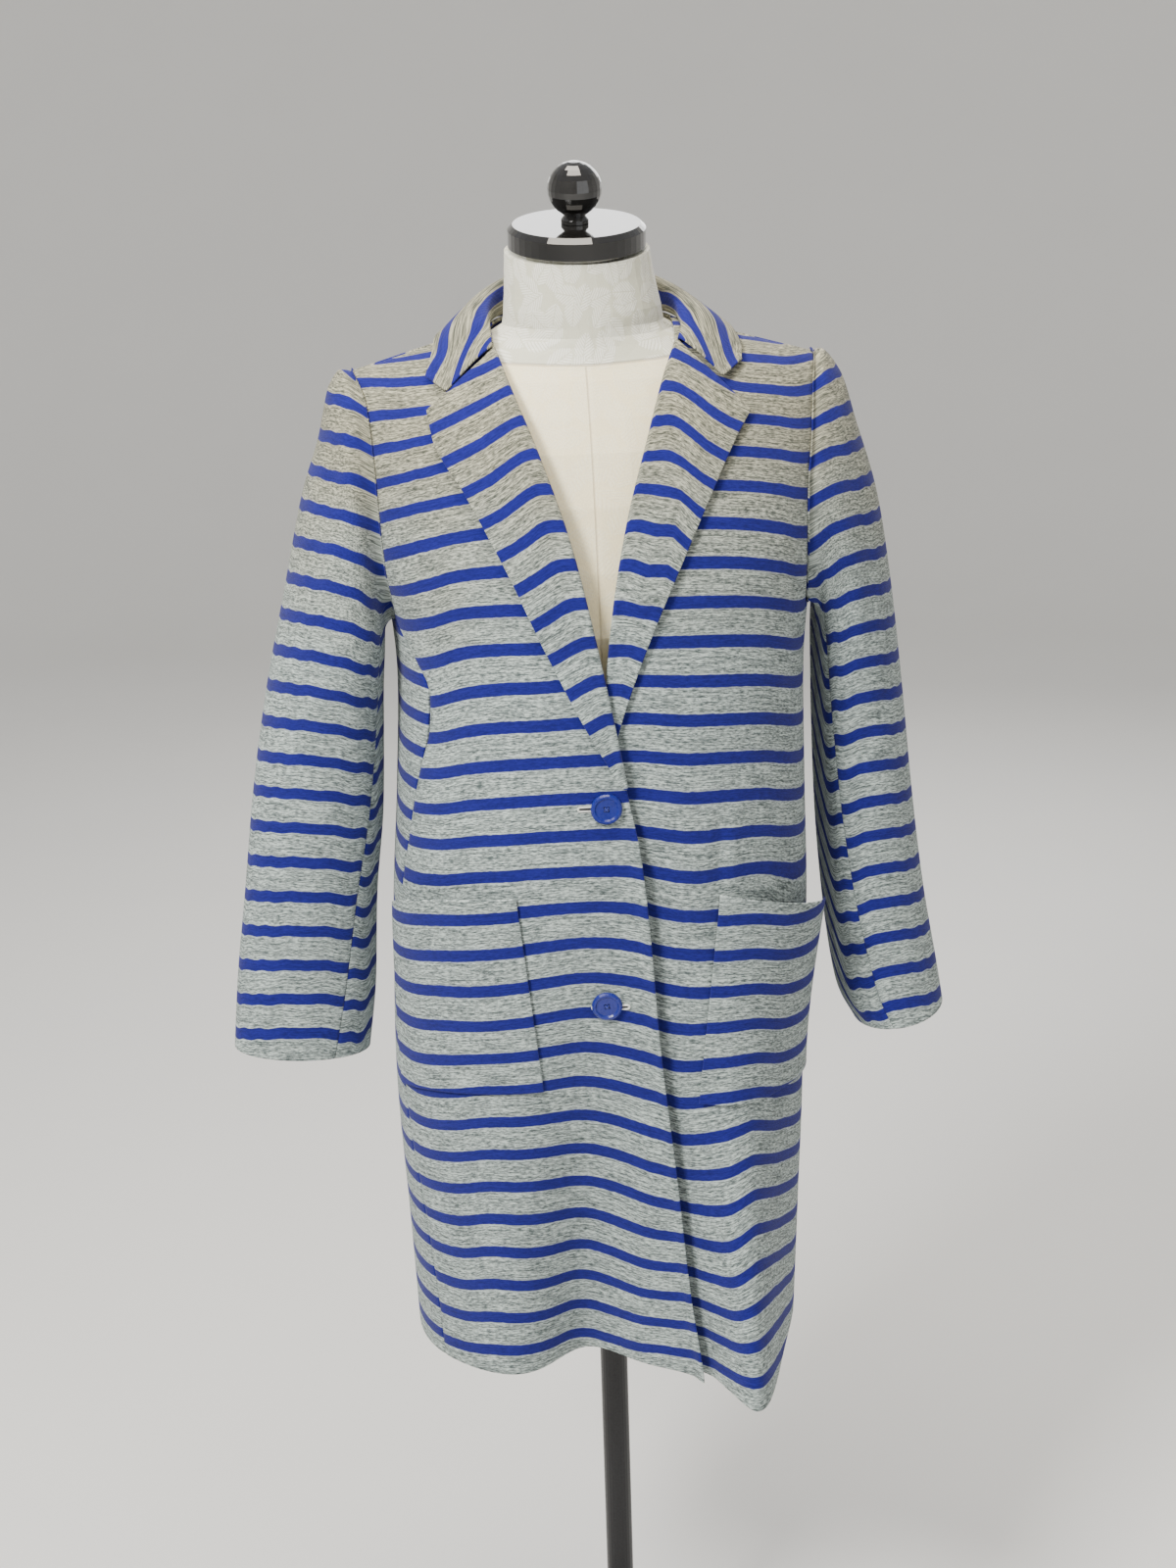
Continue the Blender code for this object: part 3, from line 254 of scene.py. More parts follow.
# How far, in millimetres, the stripes of the fronts hang below the grain of the centre front.
SAG = {
    "first_x": -0.168,
    "step_x": 0.028,
    "level": (0.5, 0.6, 0.68, 0.76, 0.84, 0.9, 0.95, 1.02, 1.1, 1.18, 1.24, 1.28, 1.32),
    "rows": (
        (25, 22, 17, 16, 20, 24, 23, 21, 26, 26, 26, 38, 48),
        (24, 21, 12, 13, 17, 21, 26, 31, 33, 33, 24, 38, 50),
        (26, 19, 10, 9, 11, 15, 20, 28, 31, 29, 25, 38, 48),
        (28, 20, 11, 8, 7, 8, 13, 20, 25, 24, 26, 40, 48),
        (27, 19, 14, 9, 5, 3, 6, 12, 19, 23, 27, 39, 46),
        (29, 19, 12, 7, 3, 1, 3, 9, 14, 19, 26, 36, 42),
        (23, 16, 8, 4, 1, 0, 1, 5, 10, 13, 14, 21, 27),
        (27, 19, 9, 4, 1, 0, 0, 1, 5, 8, 12, 19, 25),
        (31, 23, 10, 4, 2, 0, 0, 0, 3, 6, 10, 17, 24),
        (21, 17, 7, 3, 2, 0, 0, 1, 2, 4, 8, 15, 22),
        (16, 15, 9, 4, 2, 0, 0, 2, 3, 5, 9, 15, 20),
        (22, 22, 14, 9, 3, 0, 0, 1, 6, 11, 15, 20, 24),
        (31, 32, 26, 12, 1, 0, 0, 0, 6, 9, 22, 28, 31),
    ),
}
# Further sag of each front's own cloth, in millimetres, at places across and levels.
OWN_SAG = {
    "right": {
        "x": (-0.168, -0.155, -0.14, -0.12, -0.045, -0.015, 0.015, 0.04, 0.06),
        "level": (0.5, 0.57, 0.65, 0.8, 1.1, 1.16, 1.22, 1.28, 1.32),
        "rows": (
            (0, 0, 0, 0, 0, 4, 8, 10, 6),
            (0, 0, 0, 0, 0, 4, 5, 7, 5),
            (0, 0, 0, 0, 0, 1, 1, 2, 3),
            (0, 0, 0, 0, 0, 0, 0, 1, 4),
            (2, 1, 0, 0, 0, 0, 0, 0, 0),
            (6, 4, 1, 0, 0, 0, 0, 0, 0),
            (3, 3, 0, 0, 0, 0, 0, 0, 0),
            (-3, -2, 0, 0, 0, 0, 0, 0, 0),
            (-9, -7, -3, 0, 0, 0, 0, 0, 0),
        ),
    },
    "left": {
        "x": (0.01, 0.03, 0.05, 0.07, 0.09, 0.11, 0.13, 0.145, 0.155, 0.165),
        "level": (0.5, 0.57, 0.62, 0.72, 0.82, 0.92, 0.98, 1.1, 1.2, 1.28),
        "rows": (
            (2, 2, 2, 3, 3, 1, 0, 0, 0, 0),
            (4, 4, 4, 5, 6, 2, 1, 0, 0, 0),
            (3, 6, 6, 6, 4, 3, 1, 0, 0, 0),
            (2, 5, 6, 4, 2, 2, 1, 0, 0, 0),
            (4, 5, 3, 1, 0, 0, 0, 0, 0, 0),
            (7, 5, -1, -2, 0, 0, 0, 0, 0, 0),
            (2, 0, 1, 1, 0, -1, 0, 0, 0, 0),
            (4, 4, 5, 3, 2, 1, 3, 2, 1, 1),
            (9, 9, 7, 6, 4, 3, 5, 4, 3, 3),
            (10, 10, 10, 9, 5, 3, 8, 6, 3, 4),
        ),
    },
}
SAG_EDGE_X = 0.168  # where the fronts' table ends and the back goes on from it
BACK_EDGE_SAG = {
    "level": (0.5, 0.6, 0.72, 0.85, 1.0, 1.12, 1.25),
    "right": (-5, -1, 3.5, 4, 7, 7, 4),
    "left": (0, 0, 3, 3, 5, 5, 3),
}
# How far the stripes drop towards the front armhole, and over which width.
ARMHOLE_HOOK = {"right": 0.006, "left": 0.002}
ARMHOLE_HOOK_WIDTH = 0.011
POCKET_SAG_LEVEL = {"right": 0.89, "left": 0.86}
BACK_SAG = 0.006
# Where the stripes of a sleeve start, in millimetres down from the armhole, round from the shoulder tip.
SLEEVE_GRAIN = {
    "turn": (0, 18, 28, 40, 49, 57, 64, 70, 76, 83, 90, 98, 106, 115, 125, 133, 141, 150, 160, 180),
    "start": (90, 85, 77, 66, 53, 42, 30, 19, 9, -3, -15, -29, -42, -54, -67, -78, -84, -94, -111, -124),
}
# Millimetres added along the sleeves, whose cloth is gathered where they bend.
SLEEVE_SHIFT = {
    "ring": (0, 1.5, 2.5, 3.5, 4.5, 5.5, 6.5, 7.5, 8.5, 10),
    "right": (5, 7, 6, 2.5, -0.6, -2.4, -4, -6, -6, -5.5),
    "left": (0, 3.5, 3, 2.5, 2.7, 3.5, 5, 6, 7.5, 8.5),
}
UNDER_SHIFT = {
    "ring": (0, 6.5, 7.5, 8.5, 9.5, 10),
    "right": (0, 10, 14, 7.5, 3, 2),
    "left": (0, 0, -2, -6, -5, -5),
}
# The same for each degree round from the middle of the under sleeve's front.
UNDER_TILT = {"right": 0.0, "left": -0.8}
LAPEL_GRAIN = {
    "aside": (0.0, 0.008, 0.02, 0.06),
    "right": (0.7, 0.85, 1.0, 1.0),
    "left": (0.55, 0.7, 1.0, 1.1),
}
# Millimetres added on the lapels, at shares of the way down and at widths out from the roll.
LAPEL_SHIFT = {
    "down": (0.0, 0.05, 0.15, 0.25, 0.35, 0.45, 0.55, 0.65, 0.75, 0.85, 1.0),
    "aside": (0.0, 0.015, 0.03, 0.045),
    "right": (
        (16, 16, 16, 16), (16, 16, 16, 16), (7.5, 10, 12, 12), (2, 5, 8.5, 9), (-1.6, 1, 3.5, 4),
        (-2.3, -1, 0, 0), (-2.7, -2, -1, -1), (-2.4, -2.4, -2.4, -2.4), (-2.7, -2.7, -2.7, -2.7),
        (-3, -3, -3, -3), (-3, -3, -3, -3),
    ),
    "left": (
        (15, 20, 26, 30), (15, 19, 23.5, 26), (9.5, 15.5, 22, 25), (7, 10.5, 17.5, 20), (5, 1, 8.5, 13),
        (4.5, -1, 5, 8), (4.8, -1, -2, -2), (5.3, 4, 3.5, 3.5), (5.8, 7, 7, 7), (6.6, 6.6, 6.6, 6.6),
        (6.6, 6.6, 6.6, 6.6),
    ),
}
# Where the first stripe of the collar lies, in millimetres in from its outer edge.
COLLAR_GRAIN = {
    "along": (0.0, 0.5, 0.6, 0.7, 0.78, 0.85, 0.92, 1.0),
    "right": (31, 22, 18, 13, 11, 9.5, 6, 4),
    "left": (31, 27, 21.5, 18, 16.5, 16, 15, 10),
}

# Soft troughs and ridges: from X, height to X, height, half the width, and the depth.
FRONT_CREASES = {
    "right": (
        (-0.16, 1.13, -0.12, 1.02, 0.012, -0.0016),
        (-0.15, 1.19, -0.105, 1.1, 0.014, 0.0012),
        (-0.066, 0.98, -0.074, 0.94, 0.008, -0.001),
    ),
    "left": (
        (0.163, 1.12, 0.13, 1.02, 0.012, -0.0014),
        (0.088, 1.0, 0.086, 0.935, 0.006, -0.0018),
        (0.1, 1.01, 0.096, 0.95, 0.008, 0.0012),
    ),
}
BACK_CREASES = (
    (-0.15, 1.14, -0.07, 1.05, 0.014, -0.0016),
    (0.15, 1.13, 0.075, 1.06, 0.015, -0.0014),
    (-0.06, 1.3, 0.055, 1.296, 0.01, -0.001),
)
# On the sleeves the first place runs round from the shoulder tip and the second down from the armhole.
SLEEVE_CREASES = {
    "right": (
        (0.045, 0.03, 0.052, 0.14, 0.01, -0.0012),
        (0.115, 0.06, 0.06, 0.13, 0.01, -0.0018),
        (0.12, 0.11, 0.07, 0.18, 0.01, 0.0014),
        (0.11, 0.22, 0.06, 0.25, 0.012, -0.0016),
        (-0.1, 0.24, -0.04, 0.27, 0.012, -0.0018),
        (-0.11, 0.28, -0.05, 0.3, 0.011, 0.0014),
    ),
    "left": (
        (0.062, 0.02, 0.066, 0.15, 0.012, -0.002),
        (0.088, 0.05, 0.092, 0.16, 0.012, 0.0014),
        (0.12, 0.1, 0.085, 0.18, 0.01, -0.0014),
        (0.11, 0.23, 0.05, 0.26, 0.012, -0.0014),
        (-0.1, 0.23, -0.045, 0.26, 0.012, -0.0018),
        (-0.115, 0.28, -0.055, 0.31, 0.011, 0.0012),
    ),
}

# The cut of each cloth piece: width, length, share of that rectangle, how it is held, and on what.
CUT = {
    "front_right": (0.26, 0.89, 0.83, "draped", "form_torso"),
    "front_left": (0.26, 0.90, 0.88, "draped", "form_torso"),
    "back": (0.55, 0.91, 0.98, "draped", "form_torso"),
    "sleeve_upper_right": (0.27, 0.60, 0.84, "hung", "front_right_cloth"),
    "sleeve_upper_left": (0.27, 0.60, 0.79, "hung", "front_left_cloth"),
    "sleeve_under_right": (0.065, 0.41, 0.91, "hung", "sleeve_upper_right_cloth"),
    "sleeve_under_left": (0.075, 0.42, 0.93, "hung", "sleeve_upper_left_cloth"),
    "lapel_right": (0.07, 0.34, 0.76, "laid", "front_right_cloth"),
    "lapel_left": (0.062, 0.33, 0.77, "laid", "front_left_cloth"),
    "collar": (0.068, 0.42, 0.97, "laid", "back_cloth"),
    "pocket_right": (0.140, 0.190, 0.99, "laid", "front_right_cloth"),
    "pocket_left": (0.145, 0.195, 0.97, "laid", "front_left_cloth"),
}

FORM_SEAM_X = -0.004
NECK_SEAM_HEIGHT = 1.363
NECK_SEAM_SLOPE = 0.16  # rise for each metre towards the back
NECK_RADIUS = 0.06
CAMERA = {"place": (-0.168, -1.835, 1.625), "tilt": 19.0, "azimuth": -5.0, "roll": 1.8, "lens": 52.65}
LIGHTS_AIM = (0.0, 0.0, 1.0)
# Area lights: name, place, power, size and colour.
LIGHTS = (
    ("key", (-1.40, -1.55, 2.75), 108.0, 0.6, (1.0, 0.99, 0.95)),
    ("fill", (1.6, -2.9, 1.9), 13.0, 2.0, (0.93, 0.96, 1.0)),
    ("top", (-0.1, -0.3, 3.2), 62.0, 1.4, (1.0, 0.93, 0.82)),
    ("back", (0.8, 2.6, 2.2), 38.0, 2.0, (1.0, 1.0, 1.0)),
)
STAGE = {"flat": 4.2, "bend": 1.8, "height": 5.0, "colour": (0.83, 0.82, 0.80, 1)}
WORLD = {"colour": (0.93, 0.95, 0.98, 1), "strength": 0.46}


# ---------------------------------------------------------------- numbers


def smooth(keys, values, at):
    """A smooth curve through a table's values, which never overshoots them, for an array of keys."""
    keys, values = np.asarray(keys, float), np.asarray(values, float)
    spans = np.diff(keys)
    slopes = np.diff(values) / spans
    tangents = np.zeros(len(keys))
    tangents[0], tangents[-1] = slopes[0], slopes[-1]
    both = slopes[:-1] * slopes[1:] > 0
    total = np.where(both, slopes[:-1] + slopes[1:], 1.0)
    tangents[1:-1] = np.where(both, 2 * slopes[:-1] * slopes[1:] / total, 0.0)
    at = np.clip(np.asarray(at, float), keys[0], keys[-1])
    i = np.clip(np.searchsorted(keys, at, side="right") - 1, 0, len(keys) - 2)
    t = (at - keys[i]) / spans[i]
    start = (1 + 2 * t) * (1 - t) ** 2 * values[i] + t * (1 - t) ** 2 * spans[i] * tangents[i]
    return start + t * t * (3 - 2 * t) * values[i + 1] - t * t * (1 - t) * spans[i] * tangents[i + 1]


def ease(value):
    """0 below 0, 1 above 1, and a smooth step between."""
    value = np.clip(value, 0.0, 1.0)
    return value * value * (3 - 2 * value)


def bell(value):
    """1 at 0, falling to nothing within about 2 on either side."""
    return np.exp(-np.square(value))


def unit(vectors):
    return vectors / np.maximum(np.linalg.norm(vectors, axis=-1, keepdims=True), 1e-9)


def shade(colour, share):
    return *(part * share for part in colour[:3]), 1


def signed_power(value, power):
    return np.sign(value) * np.abs(value) ** power


# ---------------------------------------------------------------- the coat's outer face


def body(name, height):
    return smooth(BODY["height"], BODY[name], height)


def shoulder_height(x):
    reach = np.abs(x)
    neck_point = TIP_HEIGHT + (SHOULDER_TIP_X - NECK_POINT_X) * SHOULDER_SLOPE
    inside = neck_point + BACK_NECK_RISE * (1 - (reach / NECK_POINT_X) ** 2)
    return np.where(reach >= NECK_POINT_X, TIP_HEIGHT + (SHOULDER_TIP_X - reach) * SHOULDER_SLOPE, inside)


def ridge_y(x, is_back):
    reach = np.minimum(np.abs(x) / NECK_POINT_X, 1.0)
    return SHOULDER_LINE_Y + np.where(is_back, BACK_NECK_DEPTH * np.sqrt(1 - reach * reach), 0.0)


def fold_depth(folds, x, height):
    total = 0.0
    for top_x, hem_x, half_width, depth, top, _ in folds:
        drop = np.clip((top - height) / (top - HEM_HEIGHT), 0.0, 1.15)
        middle = top_x + (hem_x - top_x) * drop
        total = total + depth * drop**FOLD_GROWTH * bell((x - middle) / half_width)
    return total


def hem_dip(x):
    return sum(drop * bell((x - hem_x) / half_width) for _, hem_x, half_width, _, _, drop in FOLDS)


def rise_of(level):
    return np.clip((level - UNDERARM_HEIGHT) / (TIP_HEIGHT - UNDERARM_HEIGHT), 0.0, 1.0)


def coat_point(angle, level):
    """The outer face at an angle round the section, 0 in front and 180 behind, and at a level."""
    angle, level = np.broadcast_arrays(np.asarray(angle, float), np.asarray(level, float))
    side, facing = np.sin(np.radians(angle)), np.cos(np.radians(angle))
    is_back = facing < 0
    power = 2 / SECTION_SQUARENESS
    x = body("centre", level) + body("half_width", level) * signed_power(side, power)
    depth = np.where(is_back, body("back", level), body("front", level)) * np.abs(facing) ** power
    folds = np.where(is_back, fold_depth(BACK_FOLDS, x, level), fold_depth(FOLDS, x, level))
    depth = depth + folds * np.abs(facing)
    y = np.where(is_back, depth, -depth)
    rise = rise_of(level)
    ridge = ridge_y(x, is_back)
    left_over = np.maximum(1 - rise**SHOULDER_ROUNDNESS, 0.0) ** (1 / SHOULDER_ROUNDNESS)
    y = np.where(rise > 0, ridge + (y - ridge) * left_over, y)
    return np.stack((x, y, height_of(x, level)), -1)


def angle_at(x, level):
    share = np.clip((x - body("centre", level)) / body("half_width", level), -0.999, 0.999)
    return np.degrees(np.arcsin(signed_power(share, SECTION_SQUARENESS / 2)))


def height_of(x, level):
    rise = rise_of(level)
    return np.where(rise > 0, UNDERARM_HEIGHT + rise * (shoulder_height(x) - UNDERARM_HEIGHT), level)


def level_at(x, height):
    rise = (height - UNDERARM_HEIGHT) / (shoulder_height(x) - UNDERARM_HEIGHT)
    above = UNDERARM_HEIGHT + np.minimum(rise, 1.0) * (TIP_HEIGHT - UNDERARM_HEIGHT)
    return np.where(height <= UNDERARM_HEIGHT, height, above)


def edge_x(side, level):
    table = FRONT_EDGE[side]
    x = smooth(table["height"], table["x"], level)
    for _ in range(4):
        x = smooth(table["height"], table["x"], height_of(x, level))
    return x


def overlap_inset(x, level):
    past_edge = (x - edge_x("right", level)) / OVERLAP_FADE
    return OVERLAP_INSET * (1 - ease(past_edge)) * (1 - ease((level - 1.10) / 0.10))


# ---------------------------------------------------------------- armholes and sleeves


def armhole_front_angle(side, rise):
    level = UNDERARM_HEIGHT + rise * (TIP_HEIGHT - UNDERARM_HEIGHT)
    reach = smooth(ARMHOLE_FRONT["rise"], ARMHOLE_FRONT[side], rise)
    return np.abs(angle_at(SIDES[side] * reach, level))


def armhole_place(side, turn):
    """(angle, level) on the coat of the armhole: turn 0 at the shoulder tip, 90 in front, 180 below."""
    turn = np.mod(np.asarray(turn, float), 360.0)
    rise = (1 + np.cos(np.radians(turn))) / 2
    ends = armhole_front_angle(side, np.array((0.0, 1.0)))
    rises = (0.0, *ARMHOLE_BACK["rise"], 1.0)
    behind = smooth(rises, (ends[0], *ARMHOLE_BACK[side], 180 - ends[1]), rise)
    angle = np.where(turn > 180, behind, armhole_front_angle(side, rise))
    return SIDES[side] * angle, UNDERARM_HEIGHT + rise * (TIP_HEIGHT - UNDERARM_HEIGHT)


def sleeve_row(side, name, ring):
    table = SLEEVE[side][name]
    return smooth(range(len(table)), table, ring)


def sleeve_end(side, end, ring):
    x, y, z = (sleeve_row(side, f"{end}_{axis}", ring) for axis in "xyz")
    return np.stack((SIDES[side] * x, y, z), -1)


def sleeve_oval(side, ring, turn):
    outer, inner = sleeve_end(side, "outer", ring), sleeve_end(side, "inner", ring)
    cosine, sine = np.cos(np.radians(turn)), np.sin(np.radians(turn))
    oval = (outer + inner) / 2 + (outer - inner) / 2 * cosine[..., None]
    oval[..., 1] -= sleeve_row(side, "depth", ring) * sine
    return oval


def sleeve_point(side, ring, turn):
    """A point on the sleeve's outer face, which runs from the armhole's own shape into plain ovals."""
    ring, turn = np.broadcast_arrays(np.asarray(ring, float), np.asarray(turn, float))
    left_over = 1 - ease(ring / SLEEVE_BLEND_RINGS)
    armhole = coat_point(*armhole_place(side, turn))
    start = sleeve_oval(side, 0 * ring, turn)
    return sleeve_oval(side, ring, turn) + left_over[..., None] * (armhole - start)


# ---------------------------------------------------------------- walls and other pieces of the coat


def coat_normal(angle, level):
    """The outward direction of the outer face."""
    angle, level = np.broadcast_arrays(np.asarray(angle, float), np.asarray(level, float))
    top = np.minimum(level + 0.0006, TIP_HEIGHT - 0.0002)
    along = coat_point(angle, top) - coat_point(angle, top - 0.0012)
    round_it = coat_point(angle + 0.4, level) - coat_point(angle - 0.4, level)
    slope = SHOULDER_SLOPE * np.clip(coat_point(angle, level)[..., 0] / NECK_POINT_X, -1.0, 1.0)
    ridge = unit(np.stack((slope, 0 * slope, 0 * slope + 1), -1))
    return np.where((level > TIP_HEIGHT - 0.0006)[..., None], ridge, unit(np.cross(round_it, along)))


def front_place(x, height):
    """(angle, level) on the coat."""
    level = level_at(x, height)
    return angle_at(x, level), level


def on_front(side, x, height, out=0.0):
    """A point over the front, moved out from its outer face."""
    angle, level = front_place(x, height)
    if side == "left":
        out = out - overlap_inset(x, level)
    return coat_point(angle, level) + np.asarray(out)[..., None] * coat_normal(angle, level)


def lookup(grid, first_keys, second_keys, first, second):
    """Values between the entries of a regular grid, in straight steps."""
    a = np.clip(np.interp(first, first_keys, np.arange(len(first_keys))), 0, len(first_keys) - 1.001)
    b = np.clip(np.interp(second, second_keys, np.arange(len(second_keys))), 0, len(second_keys) - 1.001)
    i, j = a.astype(int), b.astype(int)
    a, b = a - i, b - j
    low = grid[i, j] * (1 - b) + grid[i, j + 1] * b
    high = grid[i + 1, j] * (1 - b) + grid[i + 1, j + 1] * b
    return low * (1 - a) + high * a


def run_length(points):
    """Length along the first axis of a grid of points."""
    steps = np.linalg.norm(np.diff(points, axis=0), axis=-1)
    return np.concatenate((np.zeros((1, points.shape[1])), np.cumsum(steps, axis=0)))


BODY_ANGLES = np.linspace(-180, 180, 361)
BODY_LEVELS = np.concatenate((np.linspace(0.44, UNDERARM_HEIGHT, 240), np.linspace(1.157, 1.3478, 110)))
BODY_RUN = run_length(coat_point(BODY_ANGLES[None, :], BODY_LEVELS[:, None]))
BODY_RUN = BODY_RUN - BODY_RUN[239]
SLEEVE_RING_KEYS = np.linspace(0, 10, 301)
SLEEVE_TURN_KEYS = np.linspace(-160, 260, 421)
SLEEVE_RUN = {
    side: run_length(sleeve_point(side, SLEEVE_RING_KEYS[:, None], SLEEVE_TURN_KEYS[None, :]))
    for side in SIDES
}


def body_run(angle, level):
    """Height along the cloth above the underarm's level, which is where the stripes are counted from."""
    return lookup(BODY_RUN, BODY_LEVELS, BODY_ANGLES, level, angle)


def front_sag(x, level):
    """How far the stripes hang below the grain of the centre front."""
    rows = np.array(SAG["rows"]) / 1000
    place = np.clip((x - SAG["first_x"]) / SAG["step_x"], 0, rows.shape[1] - 1.001)
    column = place.astype(int)
    share = place - column
    near = [np.clip(column + shift, 0, rows.shape[1] - 1) for shift in (-1, 0, 1, 2)]
    at_level = np.stack([smooth(SAG["level"], rows[:, i], level) for i in range(rows.shape[1])], -1)
    a, b, c, d = (np.take_along_axis(at_level, index[..., None], -1)[..., 0] for index in near)
    bend = (c - a) + share * (2 * a - 5 * b + 4 * c - d + share * (3 * (b - c) + d - a))
    return b + 0.5 * share * bend


def shift(table, key, column, at):
    """A smooth curve through a table in millimetres."""
    return smooth(table[key], table[column], at) / 1000


def own_sag(side, x, level):
    table = OWN_SAG[side]
    return lookup(np.array(table["rows"]) / 1000, table["x"], table["level"], x, level)


def crease_depth(rows, x, height):
    """Soft troughs and ridges, each along a straight line that fades towards both ends."""
    total = np.zeros(np.broadcast(x, height).shape)
    for x0, h0, x1, h1, half_width, depth in rows:
        run_x, run_h = x1 - x0, h1 - h0
        length = np.hypot(run_x, run_h)
        share = ((x - x0) * run_x + (height - h0) * run_h) / length**2
        aside = ((x - x0) * run_h - (height - h0) * run_x) / length
        fade = ease(0.5 + 2 * share) * ease(0.5 + 2 * (1 - share))
        total = total + depth * fade * bell(aside / half_width)
    return total


def spread(count, edge=(0.004, 0.010, 0.018)):
    """Shares from 0 to 1, closer together at both ends."""
    middle = np.linspace(edge[-1] + 0.010, 1 - edge[-1] - 0.010, count)
    return np.concatenate(((0.0,), edge, middle, 1 - np.array(edge)[::-1], (1.0,)))


def grid_normals(points):
    return unit(np.cross(np.gradient(points, axis=1), np.gradient(points, axis=0)))


def edge_distance(points, edge):
    """Distance along the grid's rows or columns from one of its edges."""
    turned_grid = points if edge in ("top", "bottom") else np.swapaxes(points, 0, 1)
    if edge in ("bottom", "last"):
        turned_grid = turned_grid[::-1]
    run = run_length(turned_grid)
    if edge in ("bottom", "last"):
        run = run[::-1]
    return run if edge in ("top", "bottom") else np.swapaxes(run, 0, 1)


def add_mesh(name, points, faces, surface, uv=None):
    mesh = bpy.data.meshes.new(name)
    mesh.from_pydata(points.tolist(), [], [list(map(int, face)) for face in faces])
    mesh.materials.append(surface)
    mesh.shade_smooth()
    if uv is not None:
        layer = mesh.uv_layers.new(name="UVMap")
        corners = np.empty(len(mesh.loops), dtype=np.int32)
        mesh.loops.foreach_get("vertex_index", corners)
        layer.data.foreach_set("uv", uv[corners].ravel().astype(np.float32))
    made = bpy.data.objects.new(name, mesh)
    bpy.context.scene.collection.objects.link(made)
    return made


def shell(name, outer, v, surface, outward, seams=(), thickness=CLOTH, shift_u=0.0):
    """A sheet of cloth inside a grid of outer points, in place of a node. Its edges are round where they
    aren't sewn to another piece. Outward is a grid of rough outward directions. V runs up the cloth,
    across the stripes."""
    rows, columns = outer.shape[:2]
    normals = grid_normals(outer)
    sign = np.sign(np.sum(normals * outward))
    normals = normals * sign
    for edge in seams:
        outer = outer - (SEAM_DIP * bell(edge_distance(outer, edge) / SEAM_DIP_WIDTH))[..., None] * normals
    inner = outer - thickness * normals
    u = np.swapaxes(run_length(np.swapaxes(outer, 0, 1)), 0, 1)
    uv = np.stack((u - u[:, columns // 2 : columns // 2 + 1] + shift_u, v), -1).reshape(-1, 2)
    index = np.arange(rows * columns).reshape(rows, columns)
    quads = np.stack((index[:-1, :-1], index[:-1, 1:], index[1:, 1:], index[1:, :-1]), -1).reshape(-1, 4)
    if sign < 0:
        quads = quads[:, ::-1]
    count = rows * columns
    rim = np.concatenate((index[0, :-1], index[:-1, -1], index[-1, :0:-1], index[:0:-1, 0]))
    away = np.zeros_like(outer)
    lines = {"top": (0, 1), "bottom": (-1, -2), "first": (0, 1), "last": (-1, -2)}
    for edge, (here, beside) in lines.items():
        if edge in seams:
            continue
        if edge in ("top", "bottom"):
            away[here] += unit(outer[here] - outer[beside])
        else:
            away[:, here] += unit(outer[:, here] - outer[:, beside])
    away = unit(away + 1e-12).reshape(-1, 3)[rim] * (np.linalg.norm(away, axis=-1).reshape(-1, 1)[rim] > 0.5)
    flat_outer, flat_inner = outer.reshape(-1, 3), inner.reshape(-1, 3)
    loops, loop_uv = [], []
    for turn in (45, 90, 135):
        share = (1 - np.cos(np.radians(turn))) / 2
        middle = flat_outer[rim] + (flat_inner[rim] - flat_outer[rim]) * share
        loops.append(middle + away * thickness / 2 * np.sin(np.radians(turn)))
        loop_uv.append(uv[rim])
    points = np.concatenate((flat_outer, flat_inner, *loops))
    around = [rim] + [2 * count + k * len(rim) + np.arange(len(rim)) for k in range(3)] + [rim + count]
    faces = [quads, quads[:, ::-1] + count]
    for low, high in zip(around, around[1:]):
        strip = np.stack((np.roll(low, -1), low, high, np.roll(high, -1)), -1)
        faces.append(strip if sign > 0 else strip[:, ::-1])
    all_uv = np.concatenate((uv, uv, *loop_uv))
    made = add_mesh(name + "_cloth", points, np.concatenate(faces), surface, all_uv)
    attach(made, "root")
    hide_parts(name)
    return made


# ---------------------------------------------------------------- materials


class Value:
    """A shader socket. Sums and functions of it are new nodes of its own tree."""

    def __init__(self, socket):
        self.socket, self.tree = socket, socket.id_data

    def node(self, kind, *inputs, output=0, **settings):
        """An output of a new node that has this value as its first input."""
        return Value(new_node(self.tree, kind, (0, self), *inputs, **settings).outputs[output])

    def math(self, operation, *others):
        return self.node("ShaderNodeMath", *enumerate(others, 1), operation=operation)

    def __add__(self, other):
        return self.math("ADD", other)

    def __sub__(self, other):
        return self.math("SUBTRACT", other)

    def __rsub__(self, number):
        return self.math("MULTIPLY_ADD", -1.0, number)

    def __mul__(self, other):
        return self.math("MULTIPLY", other)

    def __truediv__(self, other):
        return self.math("DIVIDE", other)

    def __abs__(self):
        return self.math("ABSOLUTE")

    def step(self, low, high, to_low=0.0, to_high=1.0):
        """A smooth step from one value to another."""
        limits = enumerate((low, high, to_low, to_high), 1)
        return self.node("ShaderNodeMapRange", *limits, interpolation_type="SMOOTHSTEP")

    def mix(self, first, second, blend="MIX"):
        """One colour at 0 and another at 1."""
        colours = ((6, first), (7, second))
        return self.node("ShaderNodeMix", *colours, output=2, data_type="RGBA", blend_type=blend)

    def noise(self, scale, detail=2.0, roughness=0.5):
        return self.node("ShaderNodeTexNoise", ("Scale", scale), ("Detail", detail), ("Roughness", roughness))

    def scaled(self, *factors):
        return self.node("ShaderNodeVectorMath", (1, factors), operation="MULTIPLY")

    def split(self):
        return [Value(part) for part in new_node(self.tree, "ShaderNodeSeparateXYZ", (0, self)).outputs]

    def bump(self, strength, distance):
        inputs = (("Strength", strength), ("Distance", distance), ("Height", self))
        return Value(new_node(self.tree, "ShaderNodeBump", *inputs).outputs[0])


